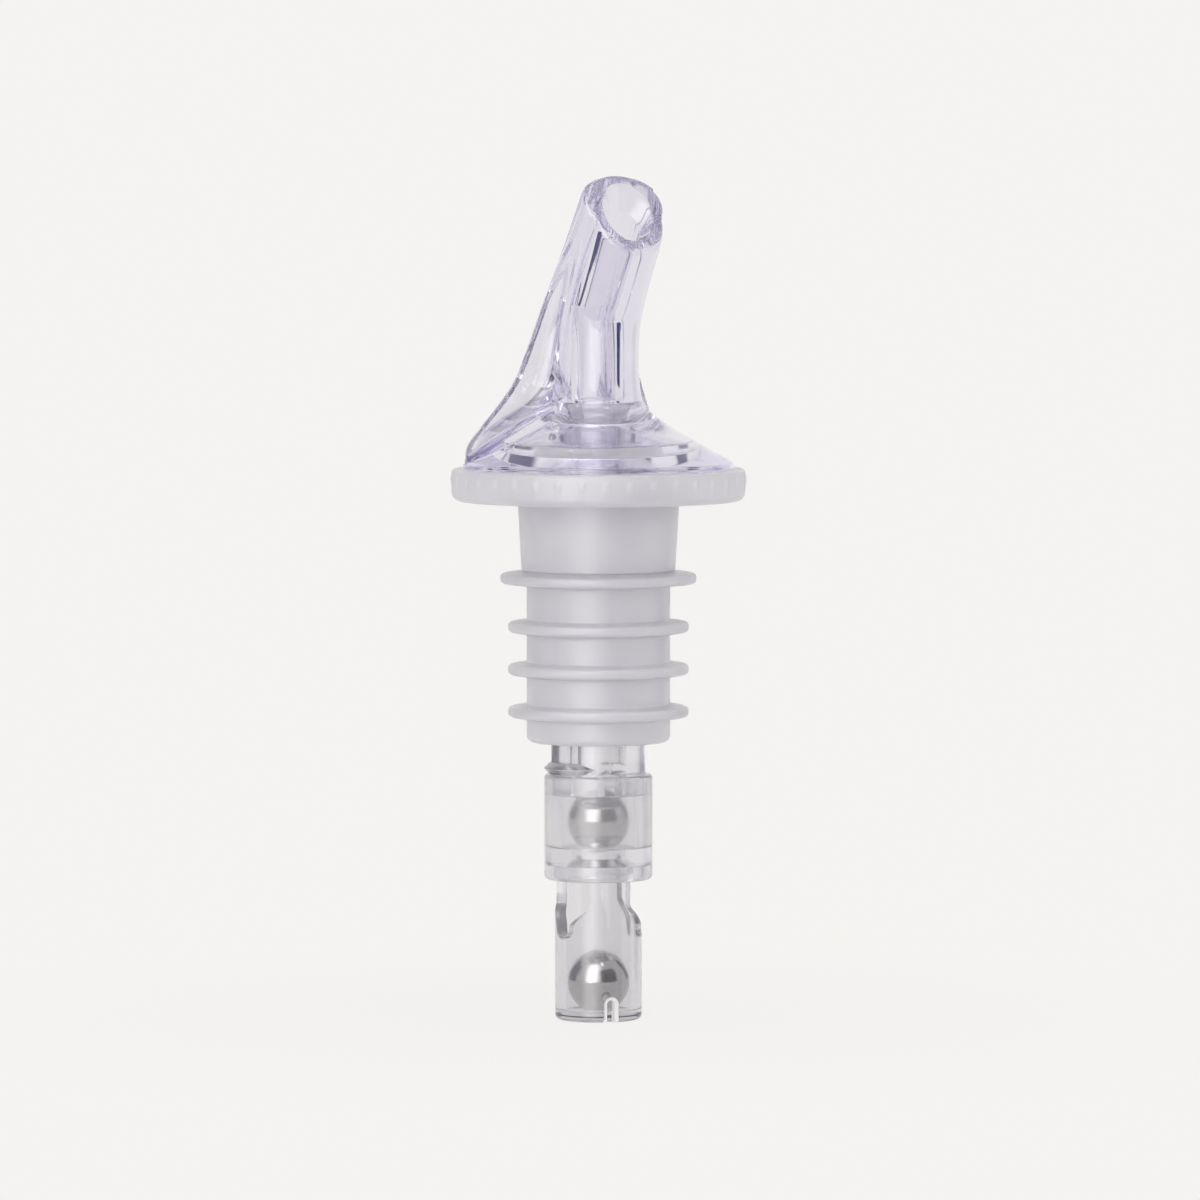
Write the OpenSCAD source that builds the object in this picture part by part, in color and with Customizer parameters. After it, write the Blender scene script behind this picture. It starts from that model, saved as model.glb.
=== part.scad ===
/* [Fits] */
// Radial gap between pieces that are pressed together
fit_gap = 0.05; // [0.02:0.01:0.1]
// Radial gap between the cork and the collar round it
collar_gap = 0.15; // [0.05:0.05:0.4]
// Gap left between a resting ball and its seat
seat_gap = 0.05; // [0.02:0.01:0.1]
// Gap between the air lip and the cup below it
lip_gap = 0.1; // [0.05:0.01:0.2]

/* [Steel balls] */
// Diameter of both balls, 5/16 inch
ball_d = 7.94; // [7:0.02:8.6]
// Travel of the timing ball from the floor to its seat
timing_travel = 12.4; // [9:0.1:20]
// Lift of the check ball off its seat
check_lift = 1.4; // [0.8:0.1:2.4]
// Gap between the two balls when both are on their seats
ball_apart = 0.2; // [0.1:0.05:0.6]

/* [Spout base] */
// Diameter of the round base
base_d = 34.5; // [30:0.1:37]
// Height of the base's upright rim
base_rim_h = 0.6; // [0.3:0.1:1.2]
// Step from the base's rim in to the bell
bell_step = 0.15; // [0.1:0.05:0.3]
// Slope of the bell above the rim, from upright
bell_slope = 61.3; // [55:0.1:66]
// Softness of the blend from the bell to the pour tube
bell_blend = 3.2; // [2:0.1:4.5]
// Wall left between the bell and the hollow below it
bell_wall = 1.1; // [0.8:0.1:2]
// Wall of the boss round the stem's spigot
boss_wall = 1.6; // [1.2:0.1:2]
// Outer diameter of the hollow below the bell
hollow_d = 23; // [20:0.1:26]
// Diameter of the air vent through the base
vent_d = 1.5; // [1:0.1:2]
// Distance of the air vent from the axis
vent_r = 9.4; // [8.8:0.1:10.2]
// Turn of the air vent from the pour side
vent_turn = 68; // [40:1:100]

/* [Spout plug] */
// Wall of the plug that presses into the cork
plug_wall = 1.45; // [1.2:0.05:1.8]
// Length of the plug below the collar's underside
plug_len = 2.55; // [1.5:0.05:4]
// Extra radius of the plug's root inside the hollow
plug_root = 0.3; // [0.2:0.05:0.6]
// Depth of the air flat on the plug's side
plug_flat = 0.7; // [0.4:0.05:0.9]

/* [Spout tube] */
// Outer diameter of the pour tube
pour_tube_d = 9.5; // [8.5:0.1:11]
// Height of the tube's bend above the base
bend_h = 19; // [17:0.1:24]
// Lean of the tube above the bend
pour_lean = 26.5; // [15:0.5:30]
// Softness of the bend on the outside
bend_blend = 4; // [1:0.1:5]
// Length of the leaning axis from the bend to the middle of the mouth
lean_len = 15.1; // [11:0.1:18]
// Tilt of the mouth's plane towards the pour side
mouth_tilt = 57; // [40:1:60]
// Extra radius of the tube where it widens towards the mouth
mouth_flare = 0.3; // [0:0.05:0.6]
// Diameter of the upright bore below the bend
upright_bore_d = 4.4; // [4.4:0.1:5.2]
// Length of the upright bore above the bend, to its flat end
bore_end = 1.9; // [0.8:0.1:2.4]
// Length of the leaning bore below the bend
lean_bore_start = 0.9; // [0.5:0.1:0.9]
// Diameter of the leaning bore at its start
lean_bore_low_d = 3.9; // [3.4:0.1:3.9]
// Diameter of the leaning bore at the mouth
lean_bore_mouth_d = 4.4; // [4:0.1:5.4]
// Diameter of the flare from the leaning bore to the mouth's lip
mouth_bore_d = 7.2; // [6:0.1:8]
// Depth of that flare below the mouth's plane
mouth_bore_depth = 1.6; // [0.8:0.1:2.4]

/* [Spout wings] */
// Turn of each wing from the pour side
wing_turn = 122; // [112:1:128]
// Distance from the axis at which the wing's straight edge would reach the base
wing_foot_r = 14.1; // [13.5:0.1:16]
// Lean of the wing's straight edge
wing_lean = 18.4; // [16:0.1:20]
// Height at which the wing starts to spread into the base
wing_spread_h = 10.6; // [7:0.1:12]
// Rate at which the wing spreads below that height
wing_spread = 0.5; // [0.2:0.05:0.7]
// Softness of the wing's spread into the base
wing_soft = 1; // [0.5:0.1:2]
// Height over which the wing's foot fades into the base
wing_foot_h = 0.9; // [0.5:0.1:1.5]
// Softness of the wing where it reaches the base's edge
foot_soft = 0.8; // [0.4:0.1:1.5]
// Softness of the hollow between the wings at the back
back_soft = 0.5; // [0.3:0.1:1]
// Thickness of the wing at its rim
wing_rim_t = 2.2; // [1.6:0.1:2.8]
// Thickness of the wing's rim beside the mouth
mouth_rim_t = 6; // [3:0.1:7]
// Height above the bend over which the rim thickens towards the mouth
mouth_fade_h = 15; // [10:0.1:18]
// Depth of the scoop between a wing and the tube, as a share of its width
scoop_depth = 0.22; // [0.1:0.01:0.3]
// Turn of the ridge beside the scoop from the pour side, along the tube
ridge_turn = 81; // [70:1:90]
// Turn left between the ridge and the wing where they meet at the base
ridge_gap = 8; // [8:1:14]
// Height over which the ridge sweeps round to the wing
ridge_sweep_h = 3.2; // [2:0.1:5]

/* [Collar] */
// Thickness of the collar
collar_t = 4.1; // [3.4:0.1:5.5]
// Diameter of the collar without its ribs
collar_d = 37.4; // [35:0.1:42]
// Radius of the rim's upper edge
collar_top_edge = 0.8; // [0.4:0.1:1.2]
// Radius of the rim's lower edge
collar_low_edge = 2; // [1:0.1:2]
// Number of grip ribs round the rim
rib_count = 38; // [24:1:48]
// Turn of the first rib from the +X side
rib_turn = 3.3; // [0:0.1:15]
// Width of a grip rib
rib_w = 0.9; // [0.6:0.1:1.4]
// How far a rib stands out of the rim
rib_proud = 0.15; // [0.1:0.05:0.3]
// Distance of a rib's ends from the rim's round edges
rib_end = 0.1; // [0.05:0.05:0.3]

/* [Cork] */
// Length of the cork below the collar
cork_len = 30.8; // [28:0.1:40]
// Wall of the cork's body
cork_wall = 1.6; // [1.2:0.1:2.4]
// Extra radius of the tapered neck at the collar
neck_flare = 1.15; // [0.8:0.05:1.6]
// Extra radius of the tapered neck at its foot
neck_foot_flare = 0.65; // [0.3:0.05:0.9]
// Length of the tapered neck below the collar
neck_len = 8.8; // [6:0.1:9.2]
// Radial reach of the cork's flange past its neck
flange_reach = 2.1; // [1.4:0.1:3]
// Thickness of the cork's flange
flange_t = 1.55; // [1:0.05:2]
// Length of the land that grips the stem
land_len = 3.5; // [2:0.1:5]
// Diameter of the three lower fins
fin_d = 23; // [21.6:0.1:25]
// Extra diameter of the top fin
top_fin_extra = 2; // [0:0.1:3]
// Depth of the top fin below the collar
top_fin_z = 9.9; // [9.6:0.1:10.6]
// Depth of the first lower fin below the collar
low_fin_z = 16.1; // [14:0.1:17]
// Spacing of the three lower fins
fin_pitch = 5.4; // [4:0.05:5.6]
// Thickness of a fin at the body
fin_root_t = 1.9; // [1.4:0.1:2.6]
// Thickness of a fin at its rim
fin_tip_t = 1.2; // [0.9:0.1:1.4]
// Width of the flat land on a fin's rim
fin_land = 0.4; // [0.2:0.05:0.6]
// Radius of the cork's lower edge
cork_edge = 0.9; // [0.4:0.1:1.2]

/* [Stem] */
// Outer diameter of the stem
stem_d = 12; // [11:0.1:13]
// Diameter of the flow bore
stem_bore_d = 4.6; // [4:0.1:5.4]
// Diameter of the spigot in the spout
spigot_d = 8.6; // [7.6:0.1:9]
// Length of the spigot
spigot_len = 7.3; // [5:0.1:8]
// Depth of the stem's shoulder above the collar, inside the spout
shoulder_h = 0.9; // [0.4:0.1:1.4]
// Length of stem between the cork and the cup
stem_show = 4.1; // [3.4:0.1:8]
// Length of stem inside the cup
stem_seat = 2.5; // [1.6:0.1:4]
// Diameter of the mouth that stops the check ball
stop_d = 6.8; // [6:0.1:7.2]
// Depth of that mouth
stop_depth = 2.2; // [2.1:0.1:3]
// Number of flow notches in the stem's end
notch_count = 4; // [3:1:6]
// Width of a flow notch
notch_w = 2.2; // [1.4:0.1:2.6]
// Depth of a flow notch
notch_depth = 1.8; // [1:0.1:2]
// Depth of the air flat on the stem's side
air_flat = 0.85; // [0.4:0.05:1.2]
// Depth of the air flat's upper end below the collar
air_flat_top = 5.2; // [4:0.1:12]
// Reach of the air lip past the stem
lip_reach = 1.35; // [0.8:0.05:1.8]
// Thickness of the air lip at the stem
lip_t = 1.5; // [1:0.1:1.8]
// Radius of the air lip's own disc
lip_r = 5; // [4.4:0.1:5.6]

/* [Cup] */
// Wall of the cup round the stem
cup_wall = 0.85; // [0.7:0.05:1.4]
// Radial room for flow round the check ball
check_room = 0.8; // [0.5:0.05:1]
// Diameter of the throat between the two seats
throat_d = 4.4; // [4:0.1:5.2]
// Outer diameter of the lower seat
low_seat_d = 6.2; // [6.2:0.1:7.4]
// Depth of the socket that takes the timing tube
tube_seat = 1.9; // [1.6:0.1:4]
// Radius of the cup's upper edge
cup_top_edge = 0.75; // [0.3:0.05:0.8]
// Radius of the cup's lower edge
cup_low_edge = 1.2; // [0.5:0.05:1.2]

/* [Timing tube] */
// Radial gap between the timing ball and its tube
ball_gap = 0.18; // [0.1:0.01:0.3]
// Wall of the timing tube
tube_wall = 1.4; // [1.2:0.05:2]
// Thickness of the floor under the ball
floor_t = 0.85; // [0.4:0.05:1.2]
// Depth of the dish in the floor
dish_depth = 0.5; // [0.3:0.05:0.7]
// Angle that one window takes
window_angle = 94; // [70:1:100]
// Turn of each window from the post over the metering notch
window_turn = 76; // [60:1:84]
// Height of the windows below the cup
window_h = 7.4; // [6:0.1:9.5]
// Radius of a window's round foot
window_foot_r = 1.5; // [1:0.1:1.9]
// Height of a window's tapered part above its foot
window_taper_h = 3; // [2:0.1:4]
// Width of the metering notch at the bore
meter_w = 1; // [0.6:0.1:1.6]
// Width of the metering notch on the outside
meter_out_w = 1.9; // [1:0.1:2.6]
// Height of the metering notch on the outside
meter_h = 3.3; // [2.4:0.1:4.5]
// How far the metering notch cuts into the bore
meter_bite = 0.3; // [0.2:0.05:0.6]
// Radius of the tube's lower edge
tube_edge = 0.7; // [0.3:0.1:0.9]
// Turn of the tail's pieces from the pour side
tail_turn = -15; // [-60:1:60]

/* [Hidden] */
$fn = 96;
cut = 1;
clear_plastic = [0.88, 0.88, 0.95, 0.45];
frosted_plastic = [0.86, 0.86, 0.90, 0.85];
steel = [0.62, 0.62, 0.64];
pour_dir = -90;
air_dir = 180;

ball_r = ball_d / 2;
base_r = base_d / 2;
bell_foot_r = base_r - bell_step;
stem_r = stem_d / 2;
plug_bore_r = stem_r + fit_gap;
plug_r = plug_bore_r + plug_wall;
socket_r = spigot_d / 2 + fit_gap;
cork_bore_r = plug_r + fit_gap;
cork_r = cork_bore_r + cork_wall;
neck_r = cork_r + neck_flare;
collar_r = collar_d / 2;

// Heights from the top down, measured from the collar's underside
base_z = collar_t;
shoulder_z = base_z + shoulder_h;
spigot_top_z = shoulder_z + spigot_len;
socket_top_z = spigot_top_z + fit_gap;
bend_z = base_z + bend_h;
flange_top_z = collar_t - fit_gap;
flange_z = flange_top_z - flange_t;
cork_low_z = -cork_len;
cup_top_z = cork_low_z - stem_show;
stem_low_z = cup_top_z - stem_seat;
stop_z = stem_low_z - sqrt(pow(ball_r, 2) - pow(stop_d / 2, 2));
check_z = stop_z - check_lift - seat_gap;

// Both seats are cones of 45 degrees, so a ball's centre lies this far from the point of its cone
cone_reach = (ball_r + seat_gap) * sqrt(2);
check_r = ball_r + check_room;
throat_r = throat_d / 2;
throat_len = ball_d + ball_apart + throat_d - 2 * cone_reach;
check_cone_z = check_z - cone_reach;
throat_top_z = check_cone_z + throat_r;
throat_low_z = throat_top_z - throat_len;
timing_cone_z = throat_low_z + throat_r;
timing_top_z = timing_cone_z - cone_reach;
tube_top_z = timing_cone_z - low_seat_d / 2;
cup_low_z = tube_top_z - tube_seat;
cup_r = plug_bore_r + cup_wall;
timing_z = timing_top_z - timing_travel;
tube_bore_r = ball_r + ball_gap;
tube_r = tube_bore_r + tube_wall;
dish_z = timing_z - ball_r - seat_gap;
tube_low_z = dish_z - floor_t;
dish_r = ball_r + seat_gap + ball_gap;
window_low_z = cup_low_z - window_h;
lip_z = cup_top_z + lip_t / 2 + lip_gap;

// Smooth larger and smooth smaller of two values, a smooth ramp, and a share with soft ends
function smooth_max(a, b, soft) = (a + b + sqrt(pow(a - b, 2) + pow(soft, 2))) / 2;
function smooth_min(a, b, soft) = (a + b - sqrt(pow(a - b, 2) + pow(soft, 2))) / 2;
function ramp(x, soft) = smooth_max(x, 0, soft);
function eased(share) = share * share * (3 - 2 * share);

// Outside of the spout, as a half section at each height above the base. It runs from the pour side round the front of
// the bell and tube to a ridge, through the scoop to the wing's round rim, and along the back to the middle plane.
rim_wrap = 70;
function mouth_share(h) = eased(min(1, max(0, (h - bend_h) / mouth_fade_h)));
function rim_r(h) = (wing_rim_t + (mouth_rim_t - wing_rim_t) * mouth_share(h)) / 2;
function axis_shift(h) = tan(pour_lean) * ramp(h - bend_h, bend_blend);
function lean_share(h) = (1 + (h - bend_h) / sqrt(pow(h - bend_h, 2) + pow(bend_blend, 2))) / 2;
function bell_cone(h) = base_r - (h - base_rim_h) * tan(bell_slope);
function bell_r(h) = min(bell_foot_r, smooth_max(pour_tube_d / 2, bell_cone(h), bell_blend));
function front_r(turn, h) =
    (bell_r(h) + mouth_flare * mouth_share(h)) / sqrt(1 - pow(sin(pour_lean) * lean_share(h) * cos(turn), 2));
function wing_edge_r(h) =
    smooth_min(
        bell_foot_r,
        wing_foot_r - h * tan(wing_lean) + ramp(wing_spread * (wing_spread_h - h), wing_soft),
        foot_soft
    );
function wing_reach(h) = wing_edge_r(h) - cos(wing_turn) * axis_shift(h) - rim_r(h);
function ridge_turn_at(h) =
    ridge_turn + (wing_turn - ridge_gap - ridge_turn) * exp(-pow(h / ridge_sweep_h, 2));
function around(r, turn) = [r * cos(turn), r * sin(turn)];
function front_point(h, turn) = around(front_r(turn, h), turn);
function rim_point(h, turn) = around(wing_reach(h), wing_turn) + around(rim_r(h), turn);
function hollowed(a, b, share, depth) =
    a + (b - a) * share + [a.y - b.y, b.x - a.x] * depth * 4 * share * (1 - share);
function outside_bell(h, p) =
    let (turn = atan2(p.y, p.x)) around(smooth_max(norm(p), front_r(turn, h), back_soft), turn);
function footed(h, p) =
    let (
        share = exp(-pow(h / wing_foot_h, 2)),
        r = norm(p) + (bell_r(h) - norm(p)) * share
    )
    p * min(r, bell_foot_r) / norm(p);
function rear_rim_point(h, turn) =
    turn > wing_turn ? outside_bell(h, rim_point(h, turn)) : rim_point(h, turn);
function back_point(h, turn, flat) = outside_bell(h, [flat, flat * tan(turn)]);

// Points on each stretch of the half section, and levels that lie closer together near the base
front_steps = 9;
scoop_steps = 7;
rim_steps = 6;
back_steps = 6;
level_count = 30;
level_crowding = 1.6;
loft_low_h = base_rim_h / 2;
loft_h = bend_h + lean_len + pour_tube_d;
function level_h(i) = loft_low_h + (loft_h - loft_low_h) * pow(i / level_count, level_crowding);
function half_section(h) =
    let (
        ridge = ridge_turn_at(h),
        rim_start = rim_point(h, wing_turn - rim_wrap),
        rim_end = rim_point(h, wing_turn + rim_wrap),
        end_turn = atan2(rim_end.y, rim_end.x),
        depth = scoop_depth * (1 - mouth_share(h))
    )
    concat(
        [for (i = [0 : front_steps]) front_point(h, ridge * i / front_steps)],
        [for (i = [1 : scoop_steps]) hollowed(front_point(h, ridge), rim_start, i / scoop_steps, depth)],
        [for (i = [1 : rim_steps]) rear_rim_point(h, wing_turn + rim_wrap * (2 * i / rim_steps - 1))],
        [for (i = [1 : back_steps])
            back_point(h, end_turn + (180 - end_turn) * i / back_steps, rim_end.x)]
    );
half_count = front_steps + scoop_steps + rim_steps + back_steps + 1;
ring_count = 2 * half_count - 2;
function spout_ring(h) =
    let (half = [for (p = half_section(h)) footed(h, p)])
    concat(
        [for (p = half) [p.y, -axis_shift(h) - p.x, base_z + h]],
        [for (i = [half_count - 2 : -1 : 1]) [-half[i].y, -axis_shift(h) - half[i].x, base_z + h]]
    );

module spout_loft() {
    low_middle = ring_count * (level_count + 1);
    top_ring = ring_count * level_count;
    points = concat(
        [for (i = [0 : level_count]) each spout_ring(level_h(i))],
        [[0, 0, base_z + loft_low_h], [0, -axis_shift(loft_h), base_z + loft_h]]
    );
    sides = [
        for (i = [0 : level_count - 1])
            for (j = [0 : ring_count - 1])
                let (low = i * ring_count, high = low + ring_count, k = (j + 1) % ring_count)
                    each [[low + j, high + j, high + k], [low + j, high + k, low + k]]
    ];
    floor_faces = [for (j = [0 : ring_count - 1]) [low_middle, j, (j + 1) % ring_count]];
    top_faces = [
        for (j = [0 : ring_count - 1])
            [low_middle + 1, top_ring + (j + 1) % ring_count, top_ring + j]
    ];
    polyhedron(points = points, faces = concat(sides, floor_faces, top_faces));
}

module from_bend() {
    translate([0, 0, bend_z]) rotate([pour_lean, 0, 0]) children();
}

module spout_bores() {
    translate([0, 0, -plug_len - cut]) cylinder(r = plug_bore_r, h = shoulder_z + fit_gap + plug_len + cut);
    translate([0, 0, shoulder_z]) cylinder(r = socket_r, h = socket_top_z - shoulder_z);
    translate([0, 0, shoulder_z]) cylinder(d = upright_bore_d, h = bend_z - shoulder_z + bore_end);
    bore_taper = (lean_bore_mouth_d - lean_bore_low_d) / (lean_bore_start + lean_len);
    bore_len = lean_bore_start + lean_len + pour_tube_d;
    from_bend()
        translate([0, 0, -lean_bore_start])
            cylinder(d1 = lean_bore_low_d, d2 = lean_bore_low_d + bore_taper * bore_len, h = bore_len);
}

// Ring-shaped hollow under the bell, with a roof that follows the bell's slope and a step over the stem's shoulder
module bell_hollow() {
    hollow_r = hollow_d / 2;
    root_r = plug_r + plug_root;
    boss_r = socket_r + boss_wall;
    step_h = shoulder_h + boss_wall;
    function roof_h(r) = base_rim_h + (base_r - r) / tan(bell_slope) - bell_wall / sin(bell_slope);
    translate([0, 0, base_z])
        rotate_extrude()
            polygon([
                [root_r, -cut],
                [hollow_r, -cut],
                [hollow_r, roof_h(hollow_r)],
                [boss_r, roof_h(boss_r)],
                [boss_r, step_h],
                [root_r, step_h]
            ]);
}

module at_mouth() {
    translate([0, 0, lean_len]) rotate([mouth_tilt - pour_lean, 0, 0]) children();
}

module mouth_cut() {
    from_bend() at_mouth()
        translate([-base_d, -base_d, 0])
            cube([2 * base_d, 2 * base_d, loft_h]);
}

// Thin slice of a round bar along the leaning axis, level with the mouth's plane at a depth below it
slice_t = 0.05;
module mouth_slice(d, depth) {
    intersection() {
        translate([0, 0, lean_len - pour_tube_d]) cylinder(d = d, h = 2 * pour_tube_d, $fn = 32);
        at_mouth() translate([-base_r, -base_r, -depth]) cube([base_d, base_d, slice_t]);
    }
}

module mouth_flare_cut() {
    from_bend()
        hull() {
            mouth_slice(mouth_bore_d, 0);
            mouth_slice(lean_bore_mouth_d, mouth_bore_depth);
        }
}

module spout() {
    color(clear_plastic)
        difference() {
            union() {
                spout_loft();
                translate([0, 0, base_z]) cylinder(r = base_r, h = base_rim_h);
                translate([0, 0, -plug_len]) cylinder(r = plug_r, h = plug_len + base_z + loft_low_h);
            }
            bell_hollow();
            spout_bores();
            mouth_flare_cut();
            mouth_cut();
            rotate(pour_dir - vent_turn)
                translate([vent_r, 0, base_z]) cylinder(d = vent_d, h = loft_h);
            rotate(air_dir)
                translate([plug_r - plug_flat, -plug_r, -plug_len - cut])
                    cube([plug_flat + plug_root + cut, 2 * plug_r, plug_len + shoulder_z + cut]);
        }
}

// Upright sections of a ring's outside: one with a round lower edge, and one with a round upper edge as well
module rounded_foot(r, low, high, low_edge) {
    translate([0, low + low_edge]) square([r, high - low - low_edge]);
    translate([0, low]) square([r - low_edge, low_edge]);
    translate([r - low_edge, low + low_edge]) circle(r = low_edge);
}

module rounded_section(r, low, high, low_edge, high_edge) {
    rounded_foot(r, low, high - high_edge, low_edge);
    translate([0, high - high_edge]) square([r - high_edge, high_edge]);
    translate([r - high_edge, high - high_edge]) circle(r = high_edge);
}

module collar() {
    hole_r = neck_r + collar_gap;
    seat_r = neck_r + flange_reach + collar_gap;
    rib_z = collar_low_edge + rib_end;
    rib_h = collar_t - collar_low_edge - collar_top_edge - 2 * rib_end;
    color(frosted_plastic)
        difference() {
            union() {
                rotate_extrude() rounded_section(collar_r, 0, collar_t, collar_low_edge, collar_top_edge);
                for (i = [0 : rib_count - 1])
                    rotate(rib_turn + i * 360 / rib_count)
                        translate([collar_r + rib_proud - rib_w / 2, 0, rib_z])
                            cylinder(d = rib_w, h = rib_h);
            }
            translate([0, 0, -cut]) cylinder(r = hole_r, h = collar_t + 2 * cut);
            translate([0, 0, flange_z]) cylinder(r = seat_r, h = collar_t);
        }
}

// Section of one sealing fin, from inside the body to its rounded rim
module fin_section(reach_r, depth) {
    edge_r = (fin_tip_t - fin_land) / 2;
    root_x = cork_r - cork_wall / 2;
    translate([0, -depth]) {
        polygon([
            [root_x, -fin_root_t / 2],
            [reach_r - edge_r, -fin_tip_t / 2],
            [reach_r - edge_r, fin_tip_t / 2],
            [root_x, fin_root_t / 2]
        ]);
        translate([reach_r - 2 * edge_r, -fin_land / 2]) square([2 * edge_r, fin_land]);
        for (side = [-1, 1])
            translate([reach_r - edge_r, side * fin_land / 2]) circle(r = edge_r);
    }
}

module cork_section() {
    rounded_foot(cork_r, cork_low_z, 0, cork_edge);
    polygon([
        [0, -neck_len],
        [cork_r + neck_foot_flare, -neck_len],
        [neck_r, 0],
        [neck_r, flange_z + fit_gap],
        [0, flange_z + fit_gap]
    ]);
    translate([0, flange_z]) square([neck_r + flange_reach, flange_t]);
    fin_section((fin_d + top_fin_extra) / 2, top_fin_z);
    for (i = [0 : 2])
        fin_section(fin_d / 2, low_fin_z + i * fin_pitch);
}

module cork() {
    color(frosted_plastic)
        difference() {
            rotate_extrude() cork_section();
            translate([0, 0, cork_low_z - cut]) cylinder(r = plug_bore_r, h = cork_len + collar_t + cut);
            translate([0, 0, cork_low_z + land_len]) cylinder(r = cork_bore_r, h = cork_len + collar_t);
        }
}

// Eccentric disc with a sharp rim, which leaves a crescent on the stem's air side
module air_lip() {
    rotate(air_dir)
        translate([stem_r + lip_reach - lip_r, 0, lip_z]) {
            cylinder(r1 = lip_r, r2 = lip_r - lip_t / 2, h = lip_t / 2);
            mirror([0, 0, 1]) cylinder(r1 = lip_r, r2 = lip_r - lip_t / 2, h = lip_t / 2);
        }
}

module stem() {
    flat_low_z = lip_z + lip_t / 2;
    color(clear_plastic)
        difference() {
            union() {
                translate([0, 0, stem_low_z]) cylinder(r = stem_r, h = shoulder_z - stem_low_z);
                translate([0, 0, stem_low_z]) cylinder(d = spigot_d, h = spigot_top_z - stem_low_z);
                air_lip();
            }
            translate([0, 0, stem_low_z - cut]) cylinder(d = stem_bore_d, h = spigot_top_z - stem_low_z + 2 * cut);
            translate([0, 0, stem_low_z - cut]) cylinder(d = stop_d, h = stop_depth + cut);
            for (i = [0 : notch_count - 1])
                rotate(i * 360 / notch_count + tail_turn)
                    translate([0, -notch_w / 2, stem_low_z - cut])
                        cube([stem_d, notch_w, notch_depth + cut]);
            rotate(air_dir)
                translate([stem_r - air_flat, -stem_r, flat_low_z])
                    cube([stem_r, stem_d, -air_flat_top - flat_low_z]);
        }
}

module valve_cup() {
    color(clear_plastic)
        difference() {
            rotate_extrude() rounded_section(cup_r, cup_low_z, cup_top_z, cup_low_edge, cup_top_edge);
            translate([0, 0, stem_low_z]) cylinder(r = plug_bore_r, h = stem_seat + cut);
            translate([0, 0, check_cone_z + check_r])
                cylinder(r = check_r, h = stem_low_z - check_cone_z - check_r + fit_gap);
            translate([0, 0, throat_top_z])
                cylinder(r1 = throat_r, r2 = check_r, h = check_r - throat_r);
            translate([0, 0, throat_low_z - cut]) cylinder(r = throat_r, h = throat_len + 2 * cut);
            translate([0, 0, tube_top_z])
                cylinder(r1 = low_seat_d / 2, r2 = throat_r, h = low_seat_d / 2 - throat_r);
            translate([0, 0, cup_low_z - cut]) cylinder(r = tube_r + fit_gap, h = tube_seat + cut);
        }
}

// Window cut with radial sides: a round foot, sides that spread on a soft curve, and straight sides above. Each level is
// a half angle and a height.
window_foot_steps = 6;
window_steps = 10;
window_in_r = tube_bore_r / 4;
window_out_r = tube_r / cos(window_angle / 2) + cut;
window_foot_turn = asin(window_foot_r / tube_r);
window_foot_z = window_low_z + window_foot_r;
function window_side() =
    concat(
        [for (i = [1 : window_foot_steps])
            let (turn = 90 * i / window_foot_steps)
                [window_foot_turn * sin(turn), window_foot_z - window_foot_r * cos(turn)]],
        [for (i = [1 : window_steps])
            let (share = i / window_steps)
                [window_foot_turn + (window_angle / 2 - window_foot_turn) * eased(share),
                 window_foot_z + window_taper_h * share]],
        [[window_angle / 2, tube_top_z + cut]]
    );

module window_cut() {
    side = window_side();
    last = len(side) - 1;
    function corner(r, turn, z) = [r * cos(turn), r * sin(turn), z];
    // Four corners a level: inner right, inner left, outer left, outer right
    points = [
        for (level = side)
            each [
                corner(window_in_r, -level[0], level[1]),
                corner(window_in_r, level[0], level[1]),
                corner(window_out_r, level[0], level[1]),
                corner(window_out_r, -level[0], level[1])
            ]
    ];
    walls = [
        for (i = [0 : last - 1])
            for (j = [0 : 3])
                let (low = 4 * i, high = low + 4, k = (j + 1) % 4)
                    each [[low + j, low + k, high + k], [low + j, high + k, high + j]]
    ];
    top = 4 * last;
    polyhedron(points = points, faces = concat(walls, [[3, 2, 1, 0], [top, top + 1, top + 2, top + 3]]));
}

// Metering notch that widens outwards from the bore, with a round top
meter_steps = 12;
module meter_cut() {
    widening = (meter_out_w - meter_w) / tube_wall;
    function width_at(r) = meter_out_w + widening * (r - tube_r);
    function arch(r) =
        let (half_w = width_at(r) / 2, arch_z = tube_low_z + meter_h - meter_out_w / 2)
            concat(
                [[r, -half_w, tube_low_z - cut], [r, half_w, tube_low_z - cut]],
                [for (i = [0 : meter_steps])
                    let (turn = 180 * i / meter_steps) [r, half_w * cos(turn), arch_z + half_w * sin(turn)]]
            );
    near = arch(tube_bore_r - meter_bite);
    count = len(near);
    sides = [for (j = [0 : count - 1]) let (k = (j + 1) % count) [k, j, count + j, count + k]];
    ends = [[for (j = [0 : count - 1]) j], [for (j = [count - 1 : -1 : 0]) count + j]];
    polyhedron(points = concat(near, arch(tube_r + cut)), faces = concat(sides, ends));
}

module timing_tube() {
    color(clear_plastic)
        rotate(pour_dir + tail_turn)
            difference() {
                rotate_extrude() rounded_foot(tube_r, tube_low_z, tube_top_z, tube_edge);
                translate([0, 0, dish_z + dish_depth])
                    cylinder(r = tube_bore_r, h = tube_top_z - dish_z - dish_depth + cut);
                translate([0, 0, dish_z + dish_r]) sphere(r = dish_r);
                for (side = [-1, 1])
                    rotate(side * window_turn) window_cut();
                meter_cut();
            }
}

module check_ball() {
    color(steel) translate([0, 0, check_z]) sphere(d = ball_d);
}

module timing_ball() {
    color(steel) translate([0, 0, timing_z]) sphere(d = ball_d);
}

spout();
collar();
cork();
stem();
valve_cup();
timing_tube();
check_ball();
timing_ball();
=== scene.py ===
"""Looks of a measured liquor pourer: clear winged spout, frosted collar and cork, clear ball-valve tail."""
import math

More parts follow.
